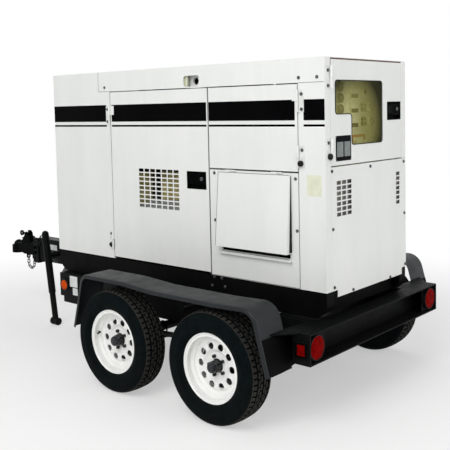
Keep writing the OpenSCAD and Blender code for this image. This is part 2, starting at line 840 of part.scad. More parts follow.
module jack_tube() {
    color("#1b1d20") jack_frame() difference() {
        union() {
            rod_z([0, 0, jack_low], jack_tube_r, jack_top - jack_low);
            translate([0, 0, jack_top]) sphere(r = jack_tube_r);
            rod_y([0, -jack_tube_r - collar_l, 0], jack_pivot_r + 9, collar_l + jack_tube_r);
        }
        rod_y([0, -jack_tube_r - collar_l - eps, 0], jack_pivot_r + fit, collar_l - 4);
        rod_z([0, 0, jack_low - eps], jack_leg_r + leg_gap, jack_top - jack_low);
    }
}

// Leg with a twin-pad foot that lies flat on the ground
module jack_leg() {
    color("#1b1d20") jack_frame() {
        rod_z([0, 0, -foot_drop], jack_leg_r, leg_top + foot_drop);
        translate([0, 0, -foot_drop]) rotate([0, -jack_lean, 0]) rotate([0, 90, 0]) rotate_extrude()
            polygon([[0, -40], [foot_r, -40], [foot_r, -5], [foot_r - 6, -5], [foot_r - 6, 5], [foot_r, 5],
                [foot_r, 40], [0, 40]]);
    }
}

// Lamps

module lamp_bodies() {
    x = bumper_x0 + lens_t;
    color("#121314") both_sides() {
        rod_x([x, lamp_y, lamp_z], lamp_r, lamp_body_t);
        slab([bumper_x0 + 18, bumper_x0 + 104], [bumper_w / 2, bumper_w / 2 + 6], [lamp_z - 42, lamp_z + 42]);
        rod_y([rail_x1 - 60, rail_y, lamp_z], marker_r + 13, 8);
    }
}

module red_lenses() {
    color("#c3130f") both_sides() {
        translate([bumper_x0 + lens_t, lamp_y, lamp_z]) rotate([0, -90, 0]) rotate_extrude($fn = 64)
            polygon([[0, 0], [lamp_r - 3, 0], [lamp_r - 3, 5], [lamp_r - 12, 9], [lamp_r - 34, 11],
                [0, lens_t]]);
        slab([bumper_x0 + 23, bumper_x0 + 99], [bumper_w / 2 + 6, bumper_w / 2 + 16],
            [lamp_z - 35, lamp_z + 35]);
    }
}

module amber_lenses() {
    color("#e2550c") both_sides()
        translate([rail_x1 - 60, rail_y + 8, lamp_z]) rotate([-90, 0, 0]) rotate_extrude($fn = 48)
            polygon([[0, 0], [marker_r, 0], [marker_r, 4], [marker_r - 8, 9], [0, 12]]);
}

// Skid base: two runners with round toes, end plates, floor, fuel tank and machinery bed

module skid_base() {
    runner_y = cab_y - 5;
    color("#151617") {
        both_sides() {
            difference() {
                side_plate(runner_y - runner_w, runner_w) runner_outline();
                slab([cab_rear + toe_r + 20, cab_front - toe_r - 20],
                    [runner_y - runner_w - eps, runner_y - 6], [deck_z + 6, cab_bot - 6]);
            }
            slab(bed_x, [bed_y, bed_y + bed_w], [cab_bot, cab_bot + bed_h]);
        }
        for (x = [cab_rear + 60, cab_front - 68])
            slab([x, x + 8], [runner_w - runner_y, runner_y - runner_w], [deck_z + 20, cab_bot - 4]);
        slab([cab_rear + 6, cab_front - 6], [-runner_y, runner_y], [cab_bot - 4, cab_bot]);
        fuel_tank();
    }
}

module runner_outline() {
    difference() {
        translate([skid_x[0], deck_z]) square([skid_x[1] - skid_x[0], skid_h]);
        for (x = [[skid_x[0], 1], [skid_x[1], -1]]) difference() {
            translate([x[0] - (x[1] > 0 ? eps : toe_r), deck_z - eps]) square(toe_r + eps);
            translate([x[0] + x[1] * toe_r, deck_z + toe_r]) circle(r = toe_r);
        }
    }
}

// Tank under the floor, with a capped filler neck inside the left front door
module fuel_tank() {
    x = tank_x;
    y = cab_y - runner_w - 25;
    z = [deck_z + 12, cab_bot - 4];
    neck = [engine_x[1], y - 45, cab_bot];
    difference() {
        union() {
            slab(x, [-y, y], z);
            rod_z(neck, 34, 70);
            rod_z(neck + [0, 0, 70], 42, 22);
        }
        slab([x[0] + 4, x[1] - 4], [4 - y, y - 4], [z[0] + 4, z[1]]);
        rod_z(neck - [0, 0, 5], 28, 60);
    }
}

// Cabinet shell

module front_panels() {
    color("#f1efe9") {
        slab([cab_front - sheet, cab_front], [-cab_y, cab_y], [cab_bot, cab_top]);
        both_sides() {
            slab([front_edge, cab_front - sheet], [cab_y - sheet, cab_y], [cab_bot, cab_top - strip_h]);
            slab([cab_rear + roof_l, cab_front - sheet], [cab_y - sheet, cab_y],
                [cab_top - strip_h, cab_top]);
            // Folded edge that stiffens the hinge side
            slab([front_edge, front_edge + sheet], [cab_y - fold, cab_y], [cab_bot, cab_top - strip_h]);
        }
    }
}

// Roof sheet with side strips, and the discharge grille ahead of it behind a seam
module roof() {
    x1 = cab_rear + roof_l;
    color("#f1efe9") {
        difference() {
            union() {
                slab([cab_rear, x1], [-cab_y, cab_y], [cab_top - sheet, cab_top]);
                both_sides()
                    slab([cab_rear, x1], [cab_y - sheet, cab_y], [cab_top - strip_h, cab_top]);
            }
            both_sides() lift_opening();
        }
        discharge_grille(x1);
    }
}

// Opening in the side strip that shows the lifting eye
module lift_opening() {
    side_plate(cab_y - 20, 40)
        round_rect([split_x + 72, split_x + 212], [lift_z - 36, lift_z + 36], 20);
}

module discharge_grille(x1) {
    x = [x1 + 1, cab_front - sheet];
    y = cab_y - sheet;
    difference() {
        slab(x, [-y, y], [cab_top - 40, cab_top]);
        slab([x[0] + 20, x[1] - 20], [20 - y, y - 20], [cab_top - 41, cab_top + eps]);
    }
    for (i = [1 : 9]) {
        bar = i * y / 5 - y;
        slab([x[0] + 10, x[1] - 10], [bar - 3, bar + 3], [cab_top - 32, cab_top - 4]);
    }
}

// Rear corner posts, middle pillars and the lifting eyes
module cabinet_posts() {
    rear_x = [cab_rear, cab_rear + rear_post_w];
    z = [cab_bot, cab_top - strip_h];
    color("#f1efe9") {
        both_sides() {
            slab(rear_x, [cab_y - sheet, cab_y], z);
            slab([rear_x[1] - sheet, rear_x[1]], [cab_y - fold, cab_y], z);
            slab([split_x - 35, split_x + 35], [pillar_y - 44, pillar_y], [cab_bot, cab_top - sheet]);
            lifting_eye();
        }
        slab([cab_rear, cab_rear + sheet], [control_y + door_gap / 2, cab_y - sheet],
            [cab_bot, cab_top - sheet]);
        slab([cab_rear, cab_rear + sheet], [sheet - cab_y, -control_y - door_gap / 2],
            [rear_panel_z[1] + 2, cab_top - sheet]);
    }
}

// Eye plate behind the opening in the roof's strip
module lifting_eye() {
    y = pillar_y - 34;
    difference() {
        slab([split_x + 35, split_x + 230], [y, y + 14], [lift_z - 92, lift_z + 48]);
        rod_y([split_x + 142, y - 20, lift_z], 24, 60);
    }
}

// Grid of slots through a wall in the X and Z plane
module slot_grid(x, z, columns, rows) {
    for (i = [0 : columns - 1], j = [0 : rows - 1])
        translate([x + (i - (columns - 1) / 2) * slot_pitch_w, z + (j - (rows - 1) / 2) * slot_pitch_h])
            square([slot_w, slot_h], center = true);
}

module rear_panel() {
    left = control_y + door_gap / 2 - 1;
    vent_z = rear_panel_z[0] + 579;
    color("#f1efe9") difference() {
        union() {
            slab([cab_rear, cab_rear + sheet], [sheet - cab_y, left], [cab_bot, rear_panel_z[1]]);
            slab([cab_rear, cab_rear + sheet], [rear_post_face - cab_y, left - 60], rear_panel_z);
        }
        // Slot grids are drawn in X and Z, then turned onto the rear face
        translate([cab_rear + 20, 0, 0]) rotate([0, 0, 90]) side_plate(0, 40) {
            slot_grid(control_y - 138, vent_z, 3, 7);
            slot_grid(46 - control_y, vent_z, 1, 7);
        }
    }
}

module terminal_panel() {
    x = [rear_door_x[0], rear_door_x[1]];
    color("#f1efe9") {
        difference() {
            slab(x, [cab_y - sheet, cab_y], [cab_bot, terminal_top]);
            slab([cover_x[0] + 14, cover_x[1] - 14], [cab_y - 20, cab_y + eps],
                [cable_slot_z, cover_top - 40]);
        }
        // Flange on the middle pillar, and a ledge under the cable opening
        slab([split_x - 33, split_x - 33 + sheet], [pillar_y, cab_y], [cab_bot + 20, terminal_top - 20]);
        slab([cover_x[0], cover_x[1]], [cab_y - sheet, cab_y + 22], sill_z);
    }
}

// Insulating board with five output studs, a row of sockets and an earth stud
module terminal_board() {
    y = cab_y - 150;
    x0 = cover_x[0] + 40;
    z = [cover_bot + 54, cover_top - 50];
    color("#3a3432") {
        slab([x0, x0 + cover_w - 80], [y - 12, y], z);
        for (i = [0 : 4]) {
            rod_y([x0 + 70 + i * 85, y - 6, z[0] + 110], 6, 46);
            rod_y([x0 + 70 + i * 85, y - 6, z[0] + 110], 16, 20);
        }
        for (i = [0 : 2]) rod_y([x0 + 100 + i * 140, y - 6, z[1] - 110], 42, 30);
        // Feet on the floor
        for (s = [x0, x0 + cover_w - 110]) slab([s, s + 30], [y - 12, y], [cab_bot, z[0]]);
    }
}

// Doors

// Folded tray on the left side
module side_tray(x, z) {
    difference() {
        slab(x, [cab_y - fold, cab_y], z);
        slab([x[0] + sheet, x[1] - sheet], [cab_y - fold - eps, cab_y - sheet], [z[0] + sheet, z[1] - sheet]);
    }
}

// Room for a latch's pan in a door
module latch_cut(x, z) {
    slab([x - latch_w / 2, x + latch_w / 2], [cab_y - latch_d, cab_y + eps],
        [z - latch_h / 2, z + latch_h / 2]);
}

// Pan of a latch in the X and Z plane, let into a wall whose face is at y
module latch_pan(x, y, z) {
    difference() {
        slab([x - latch_w / 2, x + latch_w / 2], [y - latch_d, y], [z - latch_h / 2, z + latch_h / 2]);
        latch_hollow(x, y, z);
    }
}

module latch_hollow(x, y, z) {
    slab([x - latch_w / 2 + latch_wall, x + latch_w / 2 - latch_wall], [y - latch_d + 2, y + eps],
        [z - latch_h / 2 + latch_wall, z + latch_h / 2 - latch_wall]);
    rod_x([x - latch_w, y - paddle_in(), z + paddle_up()], latch_pin_r + fit, 2 * latch_w);
}

// Place of a paddle's pivot in its pan
function paddle_in() = 9;
function paddle_up() = latch_h / 2 - latch_wall - 12;

module paddle(x, y, z) {
    axis = [y - paddle_in(), z + paddle_up()];
    half = latch_w / 2 - latch_wall - 8;
    rod_x([x - latch_w / 2, axis[0], axis[1]], latch_pin_r, latch_w);
    rod_x([x - half, axis[0], axis[1]], latch_pin_r + 3, 2 * half);
    slab([x - half, x + half], [axis[0], axis[0] + 7], [z - latch_h / 2 + 30, axis[1]]);
}

// Door half of a hinge: knuckle above, leaf on the door, which lies to the given side of the pin
module door_leaf(x, z, side) {
    z1 = z + hinge_h;
    mid = z + hinge_h / 2 + 0.5;
    difference() {
        union() {
            rod_z([x, side_hinge_y, mid], knuckle_r, z1 - mid);
            slab([min(x, x + side * leaf_w), max(x, x + side * leaf_w)], [cab_y, cab_y + leaf_t], [mid, z1]);
        }
        rod_z([x, side_hinge_y, mid - eps], pin_r + fit, hinge_h);
    }
}

// Fixed half of a hinge: knuckle below, with the pin, and a leaf as high as the hinge
module fixed_leaf(x, z, side) {
    mid = z + hinge_h / 2 - 0.5;
    far = x + side * leaf_w;
    near = x + side * (knuckle_r + 4);
    rod_z([x, side_hinge_y, z], knuckle_r, mid - z);
    rod_z([x, side_hinge_y, z], pin_r, hinge_h - 2);
    slab([min(x, far), max(x, far)], [cab_y, cab_y + leaf_t], [z, mid]);
    slab([min(near, far), max(near, far)], [cab_y, cab_y + leaf_t], [z, z + hinge_h]);
}

module front_door() {
    grille_x = split_x + 473;
    grille_z = cab_bot + 534;
    difference() {
        side_tray(front_door_x, [door_bot, door_top]);
        side_plate(cab_y - fold - eps, fold + 2 * eps) slot_grid(grille_x, grille_z, 7, 9);
        latch_cut(latch_x, latch_z);
    }
    latch_pan(latch_x, cab_y, latch_z);
    for (z = front_hinge_z) door_leaf(front_hinge_x, z, -1);
}

module left_front_door() { color("#f1efe9") front_door(); }

module right_front_door() { color("#f1efe9") mirror([0, 1, 0]) front_door(); }

module left_rear_door() {
    color("#f1efe9") {
        side_tray(rear_door_x, [terminal_top + door_gap, door_top]);
        for (z = left_rear_hinge_z) door_leaf(rear_hinge_x, z, 1);
    }
}

module right_rear_door() {
    color("#f1efe9") mirror([0, 1, 0]) {
        difference() {
            side_tray(rear_door_x, [door_bot, door_top]);
            latch_cut(right_latch_x, latch_z);
        }
        latch_pan(right_latch_x, cab_y, latch_z);
        for (z = front_hinge_z) door_leaf(rear_hinge_x, z, 1);
    }
}

module left_latch() { color("#141516") paddle(latch_x, cab_y, latch_z); }

module right_front_latch() { color("#141516") mirror([0, 1, 0]) paddle(latch_x, cab_y, latch_z); }

module right_rear_latch() { color("#141516") mirror([0, 1, 0]) paddle(right_latch_x, cab_y, latch_z); }

// Turns pieces drawn on the left side onto the rear face: their X becomes Y
module on_rear() {
    translate([cab_rear + cab_y, 0, 0]) rotate([0, 0, 90]) mirror([0, 0, 0]) children();
}

// Window outline in Y and Z: a rectangle without its lower left corner
module window_outline(grow) {
    y = [win_y1 - win_w - grow, win_y1 + grow];
    z = [win_z1 - win_h - grow, win_z1 + grow];
    round_rect([y[0], win_y1 - win_notch_w + grow], z, win_r + grow);
    round_rect(y, [win_z1 - win_h + win_notch_h - grow, z[1]], win_r + grow);
}

module control_door() {
    color("#f1efe9") on_rear() {
        difference() {
            side_tray([-control_y, control_y], control_z);
            side_plate(cab_y - sheet - eps, sheet + 2 * eps) window_outline(0);
            latch_cut(control_latch_y, control_latch_z);
        }
        latch_pan(control_latch_y, cab_y, control_latch_z);
        for (z = control_hinge_z) door_leaf(control_hinge_y, z, -1);
    }
}

module control_window() {
    color([0.86, 0.82, 0.62, 0.5]) on_rear()
        side_plate(cab_y - sheet - pane_t, pane_t) window_outline(pane_margin);
}

module control_latch() { color("#141516") on_rear() paddle(control_latch_y, cab_y, control_latch_z); }

// Fixed halves of all hinges, with the pins
module hinge_bases() {
    color("#e4e2dc") {
        both_sides() for (z = front_hinge_z) fixed_leaf(front_hinge_x, z, 1);
        for (z = left_rear_hinge_z) fixed_leaf(rear_hinge_x, z, -1);
        mirror([0, 1, 0]) for (z = front_hinge_z) fixed_leaf(rear_hinge_x, z, -1);
        on_rear() for (z = control_hinge_z) fixed_leaf(control_hinge_y, z, 1);
        for (x = cover_hinges()) cover_hinge_base(x);
    }
}

function cover_hinges() = [cover_x[0] + 60, cover_x[1] - 60 - 2 * cover_knuckle_l];

// Fixed knuckle of the cover's hinge, with the pin
module cover_hinge_base(x) {
    rod_x([x, cover_axis_y, cover_axis_z], cover_knuckle_r, cover_knuckle_l);
    rod_x([x, cover_axis_y, cover_axis_z], cover_pin_r, 2 * cover_knuckle_l - 1);
    slab([x, x + cover_knuckle_l], [cab_y, cover_axis_y], [cover_axis_z - 3, cover_axis_z + 3]);
}

// Sheet cover that slopes outwards, open below for cables
module terminal_cover() {
    z0 = cover_bot;
    y = cab_y + 1.5;
    color("#f1efe9") {
        difference() {
            translate([cover_x[0], 0, 0]) rotate([90, 0, 90]) linear_extrude(cover_w)
                polygon([[y, z0], [y, cover_top], [y + 14, cover_top], [y + cover_d, z0]]);
            translate([cover_x[0] + sheet, 0, 0]) rotate([90, 0, 90]) linear_extrude(cover_w - 2 * sheet)
                polygon([[y - eps, z0 - eps], [y - eps, cover_top - sheet],
                    [y + 14 - sheet, cover_top - sheet], [y + cover_d - sheet, z0 - eps]]);
        }
        for (x = cover_hinges()) difference() {
            k = x + cover_knuckle_l + 0.5;
            union() {
                rod_x([k, cover_axis_y, cover_axis_z], cover_knuckle_r, cover_knuckle_l);
                slab([k, k + cover_knuckle_l], [cover_axis_y - 3, cover_axis_y + 3],
                    [cover_top - sheet, cover_axis_z]);
            }
            rod_x([k - eps, cover_axis_y, cover_axis_z], cover_pin_r + fit, cover_knuckle_l + 2 * eps);
        }
    }
}

// Instrument plate behind the control door, with gauges, meters and the main breaker's body
module control_panel() {
    y = cab_y - fold - 12;
    color("#c9c6bd") {
        slab([panel_x, panel_x + sheet], [-y, y], [control_z[0] - 14, control_z[1] - 20]);
        slab([cab_rear + fold + 6, panel_x], [-y, y], [control_z[0] - 14, control_z[0] - 11]);
        instruments();
        slab([panel_x - 30, panel_x + 1], [breaker_y - 60, breaker_y + 60], [breaker_z - 50, breaker_z + 50]);
        for (s = [-1, 1]) difference() {
            slab([panel_x - 52, panel_x - 29], [breaker_y + s * 20 - 3, breaker_y + s * 20 + 3],
                [breaker_z - 10, breaker_z + 10]);
            rod_y([panel_x - 42, breaker_y + s * 20 - 10, breaker_z], breaker_pin_r + fit, 20);
        }
        // Side stays down to the floor
        both_sides() slab([panel_x, panel_x + 30], [y - 30, y], [cab_bot, control_z[0] - 14]);
    }
}

// Column of gauges, column of meters, two switch blocks and their knobs
module instruments() {
    front = panel_x - 12;
    for (i = [0 : 2]) {
        rod_x([panel_x - 14, win_y1 - 243, win_z1 - 32 - i * 69], 30, 15);
        slab([front, panel_x + 1], [win_y1 - 449, win_y1 - 361],
            [win_z1 - 108 - i * 91, win_z1 - 38 - i * 91]);
    }
    rod_x([panel_x - 20, win_y1 - 516, win_z1 - 64], 17, 21);
    for (i = [0, 1]) {
        slab([front, panel_x + 1], [win_y1 - 545, win_y1 - 475],
            [win_z1 - 188 - i * 90, win_z1 - 130 - i * 90]);
        rod_x([panel_x - 24, win_y1 - 588, win_z1 - 156 - i * 92], 26, 25);
    }
}

// Toggle of the main breaker
module breaker_handle() {
    color("#17181a") {
        rod_y([panel_x - 42, breaker_y - 23, breaker_z], breaker_pin_r, 46);
        rod_y([panel_x - 42, breaker_y - 14, breaker_z], 9, 28);
        translate([panel_x - 42, breaker_y, breaker_z]) rotate([0, -25, 0])
            slab([-30, 0], [-10, 10], [-5, 5]);
    }
}

// Machinery

module engine() {
    x = engine_x;
    w = engine_w / 2;
    top = crank_z + block_h;
    color("#3f4f46") {
        difference() {
            slab(x, [-w, w], [crank_z - 70, top]);
            for (i = [0 : 3]) both_sides()
                slab([x[0] + 60 + i * 135, x[0] + 155 + i * 135], [w - 16, w + eps],
                    [crank_z + 40, top - 60]);
        }
        slab([x[0] + 30, x[1] - 30], [20 - w, w - 20], [crank_z - 190, crank_z - 70]);
        slab([x[0] + 10, x[1] - 10], [40 - w, w - 40], [top, top + 95]);
        translate([x[0] + 30, 0, top + 95]) rotate([90, 0, 90])
            linear_extrude(x[1] - x[0] - 60) difference() {
                circle(r = 92);
                translate([-100, -100]) square([200, 100]);
            }
        rod_x([alternator_x[1], 0, crank_z], 235, x[0] - alternator_x[1]);
        rod_x([x[1], 0, crank_z], 80, 36);
        rod_x([x[1], 0, fan_z], 60, 50);
        rod_x([x[1], 0, fan_z], fan_shaft_r, fan_x + fan_hub_l - 8 - x[1]);
        // Manifolds with their flanges, and feet
        both_sides() {
            rod_x([x[0] + 60, manifold_y, top + 40], 38, x[1] - x[0] - 120);
            for (i = [0 : 3])
                slab([x[0] + 80 + i * 130, x[0] + 130 + i * 130], [w - 46, manifold_y], [top + 18, top + 58]);
        }
        manifold_neck(exhaust_x, -manifold_y, top + 40);
        manifold_neck(intake_x, manifold_y, top + 40);
        both_sides() for (i = [80, 480]) {
            slab([x[0] + i, x[0] + i + 70], [w - 1, bed_y + 55], [crank_z - 40, crank_z - 16]);
            rod_z([x[0] + i + 35, bed_y + 28, cab_bot + bed_h], 26, crank_z - 39 - cab_bot - bed_h);
        }
    }
}

module manifold_neck(x, y, z) {
    rod_z([x, y, z], 30, flange_z - z - 4);
    rod_z([x, y, flange_z - 8], 48, 8);
}

module alternator() {
    x = alternator_x;
    color("#5b6a60") {
        rod_x([x[0] + 60, 0, crank_z], alternator_r, x[1] - x[0] - 60);
        rod_x([x[0], 0, crank_z], alternator_r - 50, 61);
        slab([x[0] + 90, x[1] - 130], [-alternator_box_w / 2, alternator_box_w / 2],
            [crank_z + alternator_r - 55, crank_z + alternator_box_h]);
        both_sides() {
            slab([x[0] + 120, x[1] - 120], [120, bed_y + 55], [cab_bot + bed_h, cab_bot + bed_h + 30]);
            slab([x[0] + 120, x[1] - 120], [120, 160], [cab_bot + bed_h, crank_z - 190]);
        }
    }
}

// Core between two tanks, with a shroud round the fan
module radiator() {
    y = cab_y - 83;
    z = [cab_bot, cab_top - 200];
    tank = 70;
    shroud = [fan_z - fan_r - 50, fan_z + fan_r + 50];
    color("#22262a") {
        slab([radiator_x, radiator_x + 34], [-y, y], [z[0] + tank, z[1] - tank]);
        for (b = [z[0], z[1] - tank])
            slab([radiator_x - 25, radiator_x + 59], [-y - 14, y + 14], [b, b + tank]);
        difference() {
            slab([radiator_x - 108, radiator_x], [20 - y, y - 20], shroud);
            slab([radiator_x - 104, radiator_x + eps], [24 - y, y - 24], [shroud[0] + 4, shroud[1] - 4]);
            rod_x([radiator_x - 110, 0, fan_z], fan_r + 16, 20);
        }
        difference() {
            rod_x([radiator_x - 108, 0, fan_z], fan_r + 20, 60);
            rod_x([radiator_x - 110, 0, fan_z], fan_r + 16, 64);
        }
        rod_z([radiator_x + 17, 0, z[1]], 30, 20);
    }
}

// Six pitched blades on a hub
module fan() {
    color("#d8b021") translate([fan_x, 0, fan_z]) difference() {
        union() {
            rod_x([0, 0, 0], 62, fan_hub_l);
            for (a = [0 : 60 : 300]) rotate([a, 0, 0]) translate([fan_hub_l / 2, 0, 55]) rotate([0, 0, 35])
                translate([-2.5, -45, 0]) cube([5, 90, fan_r - 60]);
        }
        rod_x([-eps, 0, 0], fan_shaft_r + fit, fan_hub_l - 4);
    }
}

// Silencer above the engine, with its outlet under the discharge grille
module muffler() {
    z = cab_top - 150;
    y = -manifold_y;
    x0 = muffler_x;
    x1 = cab_rear + roof_l + 250;
    end = x0 + muffler_l - 10;
    bore = pipe_r - pipe_wall;
    color("#4a4b4c") difference() {
        union() {
            rod_x([x0, y, z], muffler_r, muffler_l);
            rod_x([end, y, z], pipe_r, x1 + pipe_r - end);
            rod_z([x1, y, z], pipe_r, 100);
            rod_z([exhaust_x, y, flange_z], pipe_r, z - flange_z);
        }
        rod_x([x0 + pipe_wall, y, z], muffler_r - pipe_wall, muffler_l - 2 * pipe_wall);
        rod_x([end - 10, y, z], bore, x1 + bore - end + 9);
        rod_z([x1, y, z], bore, 110);
        rod_z([exhaust_x, y, flange_z - eps], bore, z - flange_z);
    }
}

module air_cleaner() {
    z = cab_top - 200;
    y = manifold_y;
    color("#2b2d2f") {
        rod_x([engine_x[0] + 60, y, z], cleaner_r, cleaner_l);
        rod_x([engine_x[0] + 60 + cleaner_l, y, z], cleaner_cap_r, cleaner_cap_l);
        rod_z([intake_x, y, flange_z], 40, z - flange_z);
    }
}

// Starter battery on the floor between the engine and the fan
module battery() {
    x = [engine_x[1] + 20, engine_x[1] + 190];
    y = 165;
    color("#202123") {
        slab(x, [-y, y], [cab_bot, cab_bot + 180]);
        for (s = [-1, 1]) rod_z([x[0] + 35, s * (y - 40), cab_bot + 179], 9, 20);
    }
}

left_rail();
right_rail();
crossmembers();
tongue_beam();
left_brace();
right_brace();
rear_bumper();
left_fender();
right_fender();
axle_beams();
leaf_springs();
spring_hangers();
coupler_head();
lamp_bodies();
red_lenses();
amber_lenses();
coupler_latch();
safety_chain();
jack_tube();
jack_leg();
front_left_tyre();
front_left_rim();
front_left_hub();
rear_left_tyre();
rear_left_rim();
rear_left_hub();
front_right_tyre();
front_right_rim();
front_right_hub();
rear_right_tyre();
rear_right_rim();
rear_right_hub();
skid_base();
front_panels();
roof();
cabinet_posts();
rear_panel();
terminal_panel();
terminal_board();
control_panel();
hinge_bases();
left_front_door();
left_rear_door();
right_front_door();
right_rear_door();
control_door();
control_window();
terminal_cover();
left_latch();
right_front_latch();
right_rear_latch();
control_latch();
engine();
alternator();
radiator();
fan();
muffler();
air_cleaner();
battery();
breaker_handle();
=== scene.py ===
"""Towable diesel generator: finishes, small fittings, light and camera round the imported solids."""

import json
import logging
import math
from collections.abc import Callable, Iterable, Sequence
from dataclasses import dataclass
from enum import Enum
from functools import cached_property

import bmesh
import bpy
from mathutils import Matrix, Vector


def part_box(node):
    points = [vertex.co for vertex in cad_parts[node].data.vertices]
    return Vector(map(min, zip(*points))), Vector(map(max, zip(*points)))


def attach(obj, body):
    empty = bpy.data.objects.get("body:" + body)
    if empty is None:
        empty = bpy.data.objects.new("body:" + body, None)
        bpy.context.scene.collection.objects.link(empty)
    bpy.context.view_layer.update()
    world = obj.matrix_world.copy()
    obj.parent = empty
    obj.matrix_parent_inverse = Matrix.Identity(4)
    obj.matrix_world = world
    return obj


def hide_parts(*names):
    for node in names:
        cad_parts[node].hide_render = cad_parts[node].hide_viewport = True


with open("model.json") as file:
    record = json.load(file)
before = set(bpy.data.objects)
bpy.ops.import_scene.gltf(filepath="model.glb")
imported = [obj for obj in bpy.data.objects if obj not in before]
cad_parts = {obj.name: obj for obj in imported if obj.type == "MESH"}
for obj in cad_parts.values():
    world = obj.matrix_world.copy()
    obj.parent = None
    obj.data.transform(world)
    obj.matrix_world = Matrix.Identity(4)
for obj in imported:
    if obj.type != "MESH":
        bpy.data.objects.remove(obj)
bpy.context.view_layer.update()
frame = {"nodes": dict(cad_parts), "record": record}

log = logging.getLogger("generator")
MM = 0.001
Thing = bpy.types.Object
Socket = bpy.types.NodeSocket
Pair = tuple[float, float]
Triple = tuple[float, float, float]
Test = Callable[[Vector, Vector], bool]


class Side(Enum):
    """Left or right half of the trailer, as the sign of Y."""

    LEFT = 1.0
    RIGHT = -1.0

    @property
    def word(self) -> str:
        """Gives the word for this side in the names of pieces."""
        return self.name.lower()

    @property
    def wall(self) -> "Facing":
        """Gives the turn that lays a fitting onto this side's wall."""
        return Facing.LEFT if self is Side.LEFT else Facing.RIGHT


class Facing(Enum):
    """Turns that lay a fitting drawn with its foot on XY and its head up Z onto a wall."""

    LEFT = Matrix(((1, 0, 0), (0, 0, 1), (0, -1, 0))).to_4x4()
    RIGHT = Matrix(((-1, 0, 0), (0, 0, -1), (0, -1, 0))).to_4x4()
    REAR = Matrix(((0, 0, -1), (1, 0, 0), (0, -1, 0))).to_4x4()
    FRONT = Matrix(((0, 0, 1), (-1, 0, 0), (0, -1, 0))).to_4x4()

    def at(self, x: float, y: float, z: float) -> Matrix:
        """Gives the place of a fitting on this wall."""
        return Matrix.Translation((x, y, z)) @ self.value


def srgb(code: str) -> tuple[float, float, float, float]:
    """Turns an sRGB hex colour into linear light.

    Args:
        code: colour as #rrggbb.
    Returns:
        Red, green, blue and alpha.
    """
    parts = [int(code[i : i + 2], 16) / 255 for i in (1, 3, 5)]
    light = [p / 12.92 if p <= 0.04045 else ((p + 0.055) / 1.055) ** 2.4 for p in parts]
    return (*light, 1.0)


@dataclass
class Nodes:
    """A node tree that is being drawn; pattern sizes are in millimetres."""

    tree: bpy.types.NodeTree

    def feed(self, node: bpy.types.Node, feeds: dict) -> None:
        """Links an output to each input that is named, or sets its value."""
        for key, value in feeds.items():
            if isinstance(value, Socket):
                self.tree.links.new(value, node.inputs[key])
            else:
                node.inputs[key].default_value = value

    def add(self, kind: str, feeds: dict, **settings: object) -> bpy.types.Node:
        """Adds one node with its settings and links.

        Args:
            kind: node type without the ShaderNode prefix.
            feeds: what goes into each input: another node's output, or a value.
            settings: properties of the node itself.
        Returns:
            The new node.
        """
        made = self.tree.nodes.new("ShaderNode" + kind)
        for key, value in settings.items():
            setattr(made, key, value)
        self.feed(made, feeds)
        return made

    @cached_property
    def place(self) -> Socket:
        """Gives the place on the surface in the object's own coordinates."""
        return self.add("TexCoord", {}).outputs["Object"]

    def work(self, how: str, *values: object) -> Socket:
        """Works out one number from others."""
        return self.add("Math", dict(enumerate(values)), operation=how).outputs["Value"]

    def noise(self, size: float, place: Socket | None = None) -> Socket:
        """Gives fractal noise whose blotches are about the given size."""
        where = self.place if place is None else place
        feeds = {"Vector": where, "Scale": 1 / (size * MM), "Detail": 4.0, "Roughness": 0.6}
        return self.add("TexNoise", feeds).outputs["Fac"]

    def ramp(self, value: Socket, start: Pair, end: Pair, **settings: object) -> Socket:
        """Maps a value from one span to another, clamped."""
        spans = zip(("From Min", "From Max", "To Min", "To Max"), (*start, *end))
        return self.add("MapRange", {"Value": value, **dict(spans)}, **settings).outputs["Result"]

    def blend(self, share: Socket, low: object, high: object) -> Socket:
        """Mixes two colours by a share."""
        return self.add("Mix", {0: share, 6: low, 7: high}, data_type="RGBA").outputs[2]

    def close(self, kind: str, share: Socket, first: bpy.types.Node, second: bpy.types.Node) -> None:
        """Mixes two shaders by a share and ends the tree with an output node."""
        feeds = {0: share, 1: first.outputs[0], 2: second.outputs[0]}
        self.add(kind, {"Surface": self.add("MixShader", feeds).outputs[0]})


